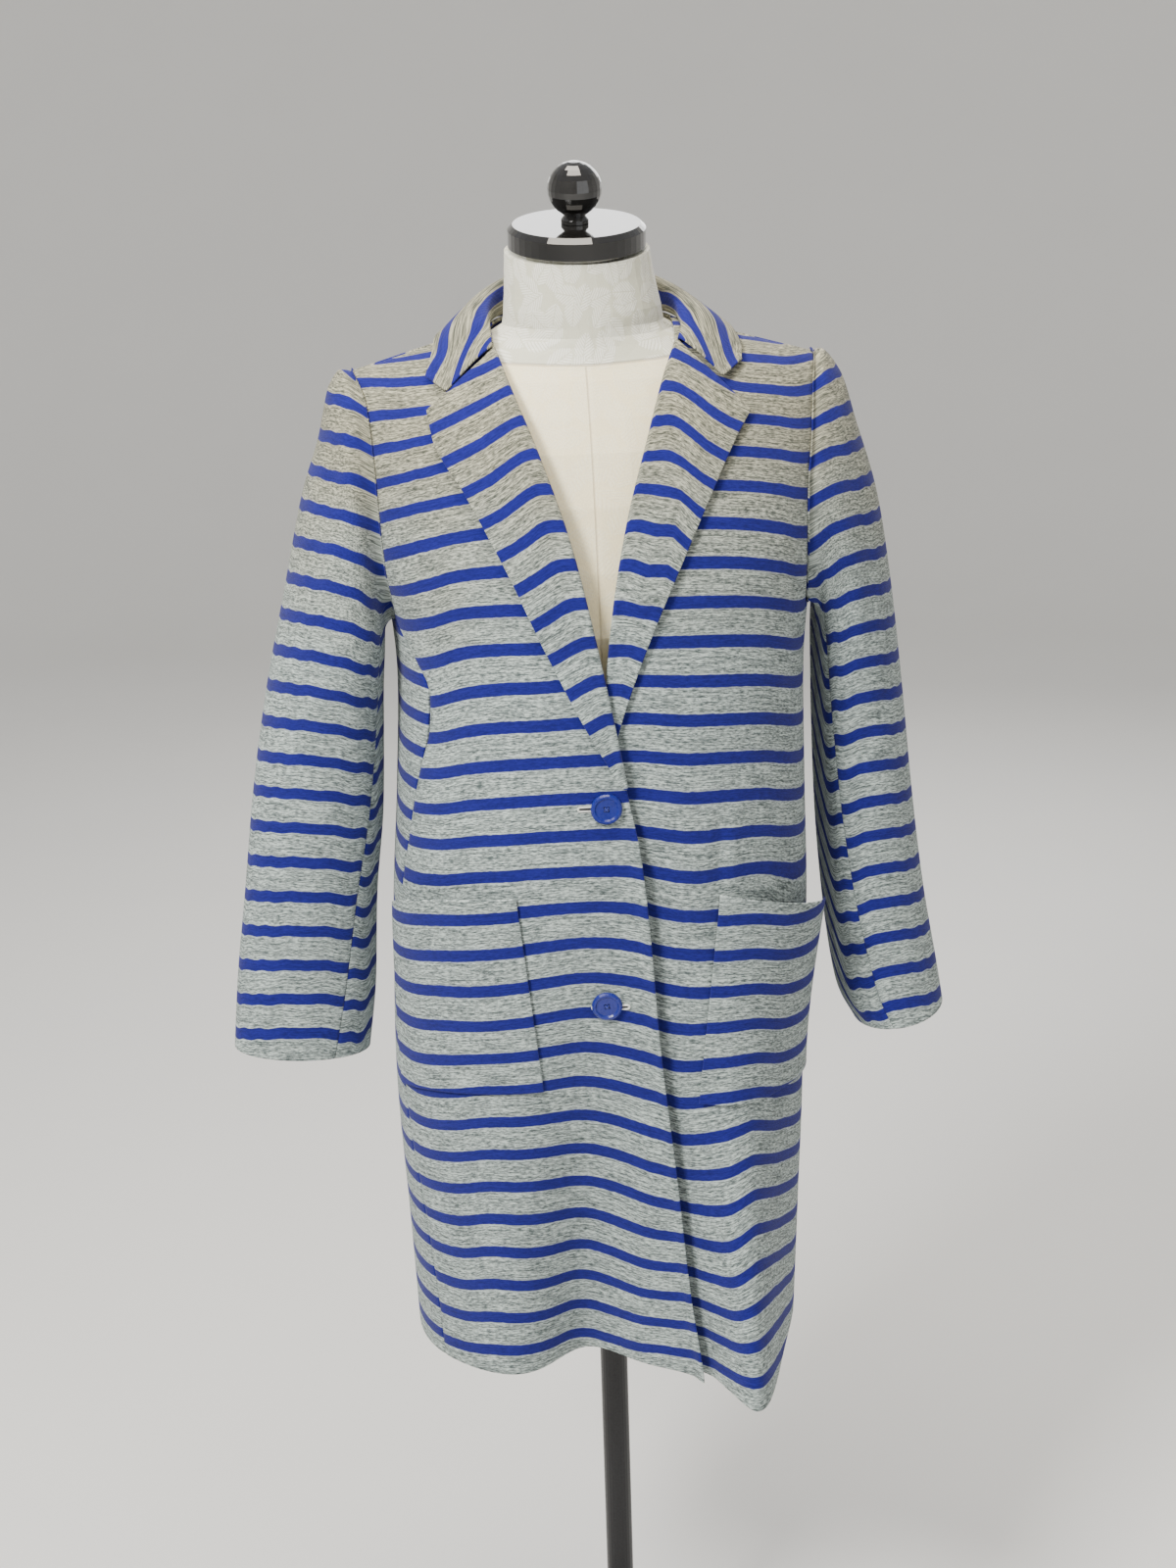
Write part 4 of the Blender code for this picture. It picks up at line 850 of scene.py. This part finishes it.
def new_node(tree, kind, *inputs, **settings):
    """A new shader node. Inputs are pairs: a name or number, and a plain value or a Value."""
    made = tree.nodes.new(kind)
    for name, value in settings.items():
        setattr(made, name, value)
    for name, value in inputs:
        if isinstance(value, Value):
            tree.links.new(value.socket, made.inputs[name])
        else:
            made.inputs[name].default_value = value
    return made


def new_surface(name, roughness, **sockets):
    """A material, its shader with plain values on its own sockets, and the place on the object."""
    surface = bpy.data.materials.new(name)
    surface.use_nodes = True
    shader = surface.node_tree.nodes["Principled BSDF"]
    for socket, value in {"Roughness": roughness, **sockets}.items():
        shader.inputs[socket.replace("_", " ")].default_value = value
    return surface, shader, Value(new_node(surface.node_tree, "ShaderNodeTexCoord").outputs["Object"])


def connect(shader, **values):
    for name, value in values.items():
        value.tree.links.new(value.socket, shader.inputs[name.replace("_", " ")])


def knit_surface():
    """Double knit: marled grey with blue stripes, in metres of the cloth's own length and width, and painted
    warm shade on the grey towards the shoulders.
    """
    surface, shader, place = new_surface(
        "striped_knit", 0.9, Sheen_Weight=0.08, Sheen_Roughness=0.5, Specular_IOR_Level=0.2)
    cloth = Value(new_node(surface.node_tree, "ShaderNodeUVMap", uv_map="UVMap").outputs[0])
    u, v, _ = cloth.split()
    wobble = cloth.scaled(160, 60, 0).noise(1.0, 1.0).math("MULTIPLY_ADD", STRIPE_WOBBLE, -STRIPE_WOBBLE / 2)
    turns = (v + wobble).math("MULTIPLY_ADD", 1 / STRIPE_REPEAT, 0.5 - STRIPE_PHASE / STRIPE_REPEAT)
    off = abs(turns.math("FRACT") - 0.5)
    half = STRIPE_WIDTH / STRIPE_REPEAT / 2
    blue_part = off.step(half - STRIPE_BLUR, half + STRIPE_BLUR, 1.0, 0.0)
    halo = off.step(half + HALO["from"], half + HALO["to"], 1.0, 0.0) * (1.0 - blue_part)
    streaks = cloth.scaled(*MARL["short"]).noise(1.0, 2.0, 0.7)
    longer = cloth.scaled(*MARL["long"]).noise(1.0, 3.0, 0.65)
    marl = longer.math("MULTIPLY_ADD", MARL["long_share"], streaks * (1 - MARL["long_share"]))
    grey = marl.step(*MARL["dark"], 1.0, 0.0).mix(GREY["middle"], GREY["dark"])
    grey = marl.step(*MARL["light"]).mix(grey, GREY["light"])
    grey = (halo * HALO["strength"]).mix(grey, GREY["halo"])
    # Painted warm shade: the grey marl turns darker and warmer towards the top, standing in for warm light
    # falling off over the shoulders.
    painted_shade_height = place.noise(7.0).math("MULTIPLY_ADD", 0.16, place.split()[2])
    grey = painted_shade_height.step(PAINTED_SHADE_FROM, PAINTED_SHADE_TO).mix(grey, GREY["painted_warm_shade"], "MULTIPLY")
    blue = marl.step(0.35, 0.65).mix(BLUE["deep"], BLUE["bright"])
    wales, courses = ((way * (2 * np.pi / size)).math("SINE") for way, size in ((u, WALE), (v, COURSE)))
    loops = wales * courses + streaks * 2.0
    connect(shader, Base_Color=blue_part.mix(grey, blue), Normal=loops.bump(0.35, 0.0004))
    return surface


def plastic_surface():
    surface, shader, place = new_surface(
        "blue_plastic", 0.28, Coat_Weight=0.25, Coat_Roughness=0.1, Specular_IOR_Level=0.4)
    cloud = place.noise(260.0)
    connect(shader, Base_Color=cloud.mix((0.003, 0.008, 0.14, 1), (0.007, 0.017, 0.24, 1)),
            Roughness=cloud.step(0.2, 0.8, 0.24, 0.34), Normal=place.noise(900.0, 1.0).bump(0.05, 0.0003))
    return surface


def thread_surface(name, colour):
    surface, shader, place = new_surface(name, 0.7, Sheen_Weight=0.3)
    strands = place.scaled(2500, 900, 900).noise(1.0)
    connect(shader, Base_Color=strands.mix(shade(colour, 0.55), colour), Normal=strands.bump(0.5, 0.0002))
    return surface


def leaf_pattern(flat):
    """Scattered leaves with veins, each turned its own way."""
    scale = ("Scale", LEAF["per_metre"])
    cells = new_node(flat.tree, "ShaderNodeTexVoronoi", (0, flat), scale, voronoi_dimensions="2D").outputs
    x, y, _ = flat.node("ShaderNodeVectorMath", (1, Value(cells["Position"])), operation="SUBTRACT").split()
    turn = Value(cells["Color"]).split()[0] * (2 * np.pi)
    cosine, sine = turn.math("COSINE"), turn.math("SINE")
    along = x.math("MULTIPLY_ADD", cosine, y * sine)
    aside = abs(y * cosine - x * sine)
    ragged = ((along + aside) * LEAF["raggedness"]).math("SINE")
    filled = 1.0 - (abs(along) / LEAF["half_length"]).math("POWER", 2.0) - aside / LEAF["half_width"]
    outline = ragged.math("MULTIPLY_ADD", 0.12, filled).step(0.0, 0.12)
    return outline * (ragged.step(-0.75, -0.35) * aside.step(0.0002, 0.0005))


def cover_surface():
    """Cream cover of the form: plain on the chest and a raised leafy weave on the neck, with two seams."""
    surface, shader, place = new_surface("form_cover", 0.55, Sheen_Weight=0.2)
    x, y, z = place.split()
    around = x.math("ARCTAN2", y * -1.0) * NECK_RADIUS
    above = z - y.math("MULTIPLY_ADD", NECK_SEAM_SLOPE, NECK_SEAM_HEIGHT)
    on_neck = above.step(-0.0008, 0.0008)
    shown = leaf_pattern(around.node("ShaderNodeCombineXYZ", (1, z))) * on_neck.step(0.0, 1.0, 0.2, 0.6)
    weave = place.scaled(1500, 1500, 420).noise(1.0)
    front_seam = abs(x - FORM_SEAM_X).step(0.0003, 0.0010, 1.0, 0.0) * (1.0 - on_neck)
    seam = front_seam.math("MAXIMUM", abs(above).step(0.0004, 0.0014, 1.0, 0.0))
    colour = shown.mix(on_neck.mix(COVER["chest"], COVER["neck"]), COVER["leaf"])
    colour = weave.step(0.3, 0.7, 0.0, 0.25).mix(colour, COVER["weave"])
    colour = (seam * 0.45).mix(colour, COVER["seam"])
    relief = seam.math("MULTIPLY_ADD", -1.5, weave.math("MULTIPLY_ADD", 0.3, shown))
    connect(shader, Base_Color=colour, Normal=relief.bump(0.5, 0.0006))
    return surface


def gloss_surface():
    surface, shader, place = new_surface("black_gloss", 0.06, Coat_Weight=1.0, Coat_Roughness=0.03)
    colour = place.noise(90.0, 3.0).mix((0.004, 0.004, 0.004, 1), (0.012, 0.011, 0.010, 1))
    connect(shader, Base_Color=colour, Roughness=place.noise(300.0).step(0.3, 0.8, 0.04, 0.11))
    return surface


def stand_surface():
    surface, shader, place = new_surface("stand_metal", 0.35, Metallic=0.6)
    grain = place.noise(500.0, 3.0)
    connect(shader, Base_Color=grain.mix((0.012, 0.012, 0.013, 1), (0.030, 0.030, 0.032, 1)),
            Roughness=grain.step(0.2, 0.8, 0.28, 0.45), Normal=grain.bump(0.15, 0.0003))
    return surface


def plain_surface(name, colour):
    surface, shader, place = new_surface(name, 0.9)
    connect(shader, Base_Color=place.noise(3.0).mix(shade(colour, 0.96), colour))
    return surface


# ---------------------------------------------------------------- the coat's pieces


def side_seam_angle(side, level, is_back):
    half_gap = np.degrees(SEAM_GAP / body("half_width", level))
    angle = smooth(SIDE_SEAM["height"], SIDE_SEAM[side], level)
    return angle + half_gap if is_back else angle - half_gap


def panel_levels():
    """Levels of a body panel's rows, from the shoulder down to the hem."""
    turns = np.linspace(0, 180, 64)
    above = UNDERARM_HEIGHT + (1 + np.cos(np.radians(turns))) / 2 * (TIP_HEIGHT - UNDERARM_HEIGHT)
    below = np.linspace(UNDERARM_HEIGHT, HEM_HEIGHT, 110)[1:]
    return np.concatenate((turns, np.full(len(below), np.nan))), np.concatenate((above, below))


def make_front(side, surface):
    sign = SIDES[side]
    turns, levels = panel_levels()
    edge_angle = sign * side_seam_angle(side, levels, False)
    armhole = armhole_place(side, np.nan_to_num(turns))[0]
    side_angle = np.where(np.isnan(turns), edge_angle, armhole)
    inner_angle = angle_at(edge_x(side, levels), levels)
    share = spread(70)
    angle = side_angle[:, None] + (inner_angle - side_angle)[:, None] * share[None, :]
    level = np.broadcast_to(levels[:, None], angle.shape)
    x = coat_point(angle, level)[..., 0]
    down = np.maximum((UNDERARM_HEIGHT - level) / (UNDERARM_HEIGHT - HEM_HEIGHT), 0.0)
    here = level - hem_dip(x) * down**2 * ease(4 * share)[None, :]
    normal = coat_normal(angle, here)
    out = crease_depth(FRONT_CREASES[side], x, here)
    if side == "left":
        past_edge = (x - edge_x("right", here)) / EDGE_LIFT_WIDTH
        recess = EDGE_RECESS * bell(np.maximum(past_edge, 0.0)) * (1 - ease((here - 0.99) / 0.05))
        out = out - overlap_inset(x, here) - recess
    else:
        from_edge = np.abs(x - x[:, -1:]) / EDGE_LIFT_WIDTH
        out = out + EDGE_LIFT * bell(from_edge) * (1 - ease((here - 0.97) / 0.05))
    points = coat_point(angle, here) + out[..., None] * normal
    points[0, :, 1] -= SEAM_GAP / 2
    v = body_run(angle, here) + front_sag(x, here) + own_sag(side, x, here)
    from_armhole = np.abs(x - x[:, :1]) / ARMHOLE_HOOK_WIDTH
    v = v + ARMHOLE_HOOK[side] * np.exp(-from_armhole) * ease((rise_of(level) - 0.02) / 0.15)
    return shell("front_" + side, points, v, surface, normal, ("top", "first"), shift_u=sign * 0.7)


def make_back(surface):
    turns, levels = panel_levels()
    ends = []
    for side in SIDES:
        edge_angle = SIDES[side] * side_seam_angle(side, levels, True)
        armhole = armhole_place(side, np.minimum(360 - np.nan_to_num(turns), 359.99))[0]
        ends.append(np.where(np.isnan(turns) | (levels <= UNDERARM_HEIGHT), edge_angle, armhole))
    start, end = ends[0], ends[1] - 360
    angle = start[:, None] + (end - start)[:, None] * spread(110)[None, :]
    level = np.broadcast_to(levels[:, None], angle.shape)
    normal = coat_normal(angle, level)
    points = coat_point(angle, level)
    out = crease_depth(BACK_CREASES, points[..., 0], level) * ease(-normal[..., 1] * -2)
    points = points + out[..., None] * normal
    points[0, :, 1] += SEAM_GAP / 2
    wrapped = np.where(angle < -180, angle + 360, angle)
    side_sag = [front_sag(np.full_like(level, sign * SAG_EDGE_X), level)
                + shift(BACK_EDGE_SAG, "level", side, level) for side, sign in SIDES.items()]
    to_middle = ease((np.abs(wrapped) - 75) / 75)
    sag = np.where(wrapped < 0, *side_sag) * (1 - to_middle) + BACK_SAG * to_middle
    v = body_run(wrapped, level) + sag
    return shell("back", points, v, surface, normal, ("top", "first", "last"), shift_u=2.1)


def sleeve_turn(side, piece, share, ring):
    front = sleeve_row(side, "front_seam", ring)
    if piece == "upper":
        return -BACK_SEAM_TURN + share * (front + BACK_SEAM_TURN)
    return front + share * (360 - BACK_SEAM_TURN - front)


def make_sleeve_piece(side, piece, surface):
    rings = np.concatenate((np.linspace(0, 0.5, 10)[:-1], np.linspace(0.5, 10, 116)))[:, None]
    share = spread(76 if piece == "upper" else 24)[None, :]
    half_gap = np.degrees(SEAM_GAP / 2 / sleeve_row(side, "depth", rings))
    turn = sleeve_turn(side, piece, share, rings) + half_gap * (1 - 2 * share)
    rings = np.broadcast_to(rings, turn.shape)
    points = sleeve_point(side, rings, turn)
    outward = points - (sleeve_end(side, "outer", rings) + sleeve_end(side, "inner", rings)) / 2
    along = unit(sleeve_point(side, np.full(turn.shape[1], 0.4), turn[0]) - points[0])
    points[0] += ARMHOLE_GAP * along
    facing = np.where(turn > 180, turn - 360, turn)
    lengths = np.radians(facing) * SLEEVE_RADIUS
    drop = lookup(SLEEVE_RUN[side], SLEEVE_RING_KEYS, SLEEVE_TURN_KEYS, rings, turn)
    out = crease_depth(SLEEVE_CREASES[side], lengths, drop) * ease(rings / 0.6)
    points = points + out[..., None] * unit(outward)
    facing = np.abs(facing)
    v = shift(SLEEVE_GRAIN, "turn", "start", facing) - drop + STRIPE_PHASE
    v = v + shift(SLEEVE_SHIFT, "ring", side, rings)
    shift_u = 3.0 + SIDES[side]
    if piece == "under":
        v = v + shift(UNDER_SHIFT, "ring", side, rings)
        v = v + UNDER_TILT[side] / 1000 * np.clip(facing - 160, -12, 12) * ease((rings - 3) / 2)
        shift_u += 0.4
    seams = ("top", "first", "last")
    return shell(f"sleeve_{piece}_{side}", points, v, surface, outward, seams, shift_u=shift_u)


def lapel_place(side, down, across):
    table = LAPEL[side]
    names = ("roll_x", "roll_z", "edge_x", "edge_z")
    roll_x, roll_z, far_x, far_z = (smooth(LAPEL_DOWN, table[name], down) for name in names)
    return roll_x + (far_x - roll_x) * across, roll_z + (far_z - roll_z) * across


def make_lapel(side, surface):
    """The lapel, with the roll where the front turns over into it."""
    table = LAPEL[side]
    down = (np.linspace(0, 1, 90) * LAPEL_END)[:, None]
    across = np.concatenate((np.linspace(0.0, 0.96, 34), (0.975, 0.99, 1.0)))[None, :]
    x, height = lapel_place(side, down, across)
    lift = table["lift"] * (0.35 + 0.65 * np.sin(np.pi / 2 * np.minimum(across * 1.5 + 0.12, 1.0)))
    taper = 1 - 0.35 * ease((down - 0.8) / 0.2)
    top = np.maximum(lift * taper - WALL, LAPEL_GAP) + WALL
    face = on_front(side, x, height, top)
    normal = coat_normal(*front_place(x[:, :1], height[:, :1]))
    base = on_front(side, x[:, :1], height[:, :1], 0.0)
    toward = unit(base - on_front(side, x[:, 3:4], height[:, 3:4], 0.0))
    radius = (top[:, :1] + ROLL_DEPTH) / 2
    turn = np.radians(np.linspace(-50, 78, 9))[None, :]
    middle = (top[:, :1] - ROLL_DEPTH) / 2
    up, out = middle + radius * np.sin(turn), radius * np.cos(turn)
    roll = base + up[..., None] * normal + out[..., None] * toward
    points = np.concatenate((roll, face), axis=1)
    # The stripes of the front turn over with it, so they are mirrored in the roll line.
    run_x, run_z = table["roll_x"][-1] - table["roll_x"][0], table["roll_z"][-1] - table["roll_z"][0]
    length = np.hypot(run_x, run_z)
    share = ((x - table["roll_x"][0]) * run_x + (height - table["roll_z"][0]) * run_z) / length**2
    foot_x = table["roll_x"][0] + run_x * share
    foot_z = table["roll_z"][0] + run_z * share
    aside = np.hypot(x - foot_x, height - foot_z)
    rise = np.abs(height - foot_z)
    steep = smooth(LAPEL_GRAIN["aside"], LAPEL_GRAIN[side], aside)
    foot_angle, foot_level = front_place(foot_x, foot_z)
    v = body_run(foot_angle, foot_level) + front_sag(foot_x, foot_level) + rise * steep
    shifts = np.array(LAPEL_SHIFT[side]) / 1000
    v = v + lookup(shifts, LAPEL_SHIFT["down"], LAPEL_SHIFT["aside"], share, aside)
    slope = (v[:, 4:5] - v[:, :1]) / np.linalg.norm(face[:, 4] - face[:, 0], axis=-1)[:, None]
    v = np.concatenate((v[:, :1] - slope * radius * (turn[:, -1:] - turn), v), axis=1)
    for _ in range(14):
        v[:, 1:26] = (v[:, :25] + 2 * v[:, 1:26] + v[:, 2:27]) / 4
    outward = np.broadcast_to(normal, points.shape)
    shift_u = 5.0 + SIDES[side]
    return shell(f"lapel_{side}", points, v, surface, outward, thickness=THIN_CLOTH, shift_u=shift_u)


def collar_line(name, share):
    result = []
    for side, table in LAPEL.items():
        x, height = table["corner"] if name == "edge" else (table["roll_x"][0], table["roll_z"][0])
        end = on_front(side, np.array(x), np.array(height), np.array(COLLAR_END_LIFT[name]))
        values = [(SIDES[side] * a, b, c) for a, b, c in COLLAR[name]] + [tuple(end)]
        axes = [smooth((*COLLAR["along"], 1.0), axis, np.abs(share)) for axis in zip(*values)]
        result.append(np.stack(axes, -1))
    return np.where((share < 0)[..., None], *result)


def make_collar(surface):
    share = COLLAR_END * np.linspace(-1, 1, 181)
    seam, roll, edge = (collar_line(name, share) for name in ("seam", "roll", "edge"))
    ahead = collar_line("roll", share + 0.005) - collar_line("roll", share - 0.005)
    over = unit(np.cross(ahead, edge - roll))
    over = over * np.sign(over[:, 2:3])
    bulge = COLLAR_BULGE * (1 - 0.6 * ease((np.abs(share) - 0.8) / 0.2))
    parts = np.concatenate((np.linspace(0.0, 0.95, 24), (0.97, 0.985, 1.0)))
    bends = []
    for side, table in LAPEL.items():
        notch = on_front(side, *map(np.array, table["notch"]), np.array(COLLAR_END_LIFT["edge"]))
        far = np.array((SIDES[side],))
        low, high = collar_line("roll", far)[0], collar_line("edge", far)[0]
        straight = low * (1 - COLLAR_NOTCH) + high * COLLAR_NOTCH
        bends.append(notch - straight)
    bent = np.where((share < 0)[:, None], *bends) * ease((np.abs(share) - 0.78) / 0.22)[:, None]
    stand = 9  # columns from the seam up to the roll
    columns = [seam + (roll - seam) * part for part in np.linspace(0, 0.94, stand)]
    for part in parts:
        bend = part / COLLAR_NOTCH if part < COLLAR_NOTCH else (1 - part) / (1 - COLLAR_NOTCH)
        lift = bulge * np.sin(np.pi * part**0.7)
        columns.append(roll + (edge - roll) * part + bent * bend + lift[:, None] * over)
    points = np.stack(columns, axis=1)
    for _ in range(6):
        inside = points[:, stand - 5 : stand + 7]
        points[:, stand - 4 : stand + 6] = (inside[:, :-2] + 2 * inside[:, 1:-1] + inside[:, 2:]) / 4
    fall = np.linalg.norm(np.diff(points, axis=1), axis=-1)
    inward = np.concatenate((np.cumsum(fall[:, ::-1], axis=1)[:, ::-1], np.zeros((len(share), 1))), axis=1)
    start = np.where(share < 0, *(shift(COLLAR_GRAIN, "along", side, np.abs(share)) for side in SIDES))
    v = inward - start[:, None] + STRIPE_PHASE
    outward = np.zeros_like(points)
    outward[:, stand + 10 :] = over[:, None]
    return shell("collar", points, v, surface, outward, ("first",), shift_u=7.0)


def pocket_place(side, across, down):
    """(angle, level, distance out) on a patch pocket."""
    table = POCKET[side]
    mouth = table["mouth_z"] + (table["mouth_side_z"] - table["mouth_z"]) * (1 - across) ** table["mouth_bow"]
    to_side = (1 - across) ** table["bottom_bow"]
    bottom = table["bottom_z"] + (table["bottom_side_z"] - table["bottom_z"]) * to_side
    level = mouth + (bottom - mouth) * down
    inner_x = table["mouth_x"] + (table["bottom_x"] - table["mouth_x"]) * down
    start = SIDES[side] * (side_seam_angle(side, level, False) - 0.3)
    angle = start + (angle_at(inner_x, level) - start) * across
    open_up = (1 - down) ** 1.6
    gape = table["gape"] * np.maximum(np.sin(np.pi * across), 0.0) ** 0.8 * open_up
    gape = gape + table["side_gape"] * (1 - across) ** 2 * open_up
    return angle, level, POCKET_GAP + gape + WALL


def make_pocket(side, surface):
    angle, level, out = pocket_place(side, *np.meshgrid(spread(44), spread(52)))
    normal = coat_normal(angle, level)
    x = coat_point(angle, level)[..., 0]
    crease = crease_depth(FRONT_CREASES[side], x, level)
    points = coat_point(angle, level) + (out + crease)[..., None] * normal
    sag = front_sag(x, np.minimum(level, POCKET_SAG_LEVEL[side]))
    v = body_run(angle, level) + sag - 0.34 * (out - WALL)
    shift_u = 9.0 + SIDES[side]
    return shell(f"pocket_{side}", points, v, surface, normal, thickness=THIN_CLOTH, shift_u=shift_u)


def front_frame(spec, dx, dz, out):
    """Points over the wearer's right front, from offsets across and up round a button."""
    x, z = spec["x"] + np.asarray(dx, float), spec["z"] + np.asarray(dz, float)
    return on_front("right", x, z, np.asarray(out, float) + 0 * x)


def tube(name, points, radius, surface, cyclic=False):
    curve = bpy.data.curves.new(name, "CURVE")
    curve.dimensions = "3D"
    curve.bevel_depth = radius
    curve.bevel_resolution = 3
    curve.use_fill_caps = True
    line = curve.splines.new("POLY")
    line.points.add(len(points) - 1)
    line.points.foreach_set("co", np.concatenate((points, np.ones((len(points), 1))), axis=1).ravel())
    line.use_cyclic_u = cyclic
    curve.materials.append(surface)
    made = bpy.data.objects.new(name, curve)
    bpy.context.scene.collection.objects.link(made)
    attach(made, "root")
    return made


def make_buttonhole(spec, thread, dark):
    """A worked slit: a ring of thread round a dark opening, which is a thin sheet of painted shadow."""
    start, end = spec["hole"]
    name = spec["name"].replace("button", "buttonhole")
    turn = np.radians(np.arange(0, 360, 6.0))
    half_height = 0.0017
    dx = np.where(np.cos(turn) > 0, end, start) + np.cos(turn) * half_height
    dz = np.sin(turn) * half_height + spec["hole_drop"]
    ring = tube(name + "_thread", front_frame(spec, dx, dz, 0.0005), 0.00085, thread, cyclic=True)
    # The opening: a thin dark sheet of painted shadow just over the cloth.
    across = np.linspace(start, end, 12)
    open_by = 0.0012 - 0.0005 * np.abs(across) / np.abs(across).max()
    top = front_frame(spec, across, spec["hole_drop"] + open_by, 0.0007)
    low = front_frame(spec, across, spec["hole_drop"] - open_by, 0.0007)
    points = np.concatenate((top, low, top - (0, -0.0004, 0), low - (0, -0.0004, 0)))
    count = len(across)
    faces = []
    for i in range(count - 1):
        faces.append((i, i + count, i + count + 1, i + 1))
        faces.append((i + 2 * count + 1, i + 3 * count + 1, i + 3 * count, i + 2 * count))
    slit = add_mesh(name + "_slit", points, faces, dark)
    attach(slit, "root")


def make_button_thread(spec, thread):
    """Two crossed stitches through the four holes."""
    reach = BUTTON_HOLE_SPREAD * 0.72
    for number, (dx, dz) in enumerate(((1, 1), (1, -1))):
        share = np.linspace(-1, 1, 9)
        out = BUTTON_GAP + 0.0027 + 0.0007 * (1 - share**4) + 0.0002 * number
        points = front_frame(spec, dx * reach * share, dz * reach * share, out)
        made = tube(f"{spec['name']}_stitch_{number}", points, 0.00045, thread)


# ---------------------------------------------------------------- camera, floor and lights


def put(name, data, right, forward, place):
    """A camera or a light in its place, looking forward."""
    matrix = np.eye(4)
    matrix[:3] = np.stack((right, np.cross(right, forward), -forward, place), -1)
    made = bpy.data.objects.new(name, data)
    made.matrix_world = Matrix(matrix.tolist())
    bpy.context.scene.collection.objects.link(made)
    return made


def make_camera():
    tilt, azimuth, roll = (np.radians(CAMERA[name]) for name in ("tilt", "azimuth", "roll"))
    forward = np.array((-np.sin(azimuth) * np.cos(tilt), np.cos(azimuth) * np.cos(tilt), -np.sin(tilt)))
    level_right = np.array((np.cos(azimuth), np.sin(azimuth), 0.0))
    level_up = np.cross(level_right, forward)
    right = np.cos(roll) * level_right - np.sin(roll) * level_up
    camera = bpy.data.cameras.new("camera")
    camera.sensor_width = 36.0
    camera.lens = CAMERA["lens"]
    bpy.context.scene.camera = put("camera", camera, right, forward, CAMERA["place"])


def make_stage():
    """A pale round floor that bends up into a wall all round."""
    bends = np.radians(np.linspace(0, 90, 13))
    flat, bend = STAGE["flat"], STAGE["bend"]
    radius = np.concatenate(((0.001, flat / 2), flat + bend * np.sin(bends), (flat + bend,)))
    rise = np.concatenate(((0.0, 0.0), bend * (1 - np.cos(bends)), (STAGE["height"],)))
    turn = np.radians(np.arange(0, 360, 7.5))[:, None]
    points = np.stack((radius * np.cos(turn), radius * np.sin(turn), rise + 0 * turn), -1).reshape(-1, 3)
    index = np.arange(len(points)).reshape(len(turn), len(radius))
    around = np.roll(index, -1, axis=0)
    faces = np.stack((index[:, :-1], index[:, 1:], around[:, 1:], around[:, :-1]), -1).reshape(-1, 4)
    floor = add_mesh("floor", points, faces, plain_surface("floor", STAGE["colour"]))
    world = bpy.data.worlds.new("world")
    world.use_nodes = True
    background = world.node_tree.nodes["Background"].inputs
    background[0].default_value, background[1].default_value = WORLD["colour"], WORLD["strength"]
    bpy.context.scene.world = world
    for name, place, power, size, colour in LIGHTS:
        light = bpy.data.lights.new(name, "AREA")
        light.energy = power
        light.size = size
        light.color = colour
        forward = unit(np.array(LIGHTS_AIM) - np.array(place))
        put(name, light, unit(np.cross(forward, (0.0, 0.0, 1.0))), forward, place)


def main():
    knit, plastic, gloss, stand, cover = (
        knit_surface(), plastic_surface(), gloss_surface(), stand_surface(), cover_surface())
    body_pieces = {}
    for side in SIDES:
        body_pieces["front_" + side] = make_front(side, knit)
        for piece in ("upper", "under"):
            body_pieces[f"sleeve_{piece}_{side}"] = make_sleeve_piece(side, piece, knit)
        body_pieces["lapel_" + side] = make_lapel(side, knit)
        body_pieces["pocket_" + side] = make_pocket(side, knit)
    body_pieces["back"] = make_back(knit)
    body_pieces["collar"] = make_collar(knit)
    for name, (width, length, share, held, under) in CUT.items():
        piece = body_pieces[name]
    grey_thread = thread_surface("grey_thread", (0.74, 0.74, 0.70, 1))
    white_thread = thread_surface("white_thread", (0.90, 0.90, 0.86, 1))
    blue_thread = thread_surface("blue_thread", (0.015, 0.030, 0.30, 1))
    dark = plain_surface("slit_shadow", (0.030, 0.030, 0.034, 1))
    for spec, thread in zip(BUTTONS, (grey_thread, white_thread)):
        make_buttonhole(spec, thread, dark)
        make_button_thread(spec, blue_thread)
    solids = (("button_upper", plastic), ("button_lower", plastic), ("form_torso", cover),
              ("form_neck_cap", gloss), ("form_finial", gloss), ("stand_pole", stand), ("stand_base", stand))
    for name, surface in solids:
        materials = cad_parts[name].data.materials
        materials.clear()
        materials.append(surface)
    make_camera()
    make_stage()


main()
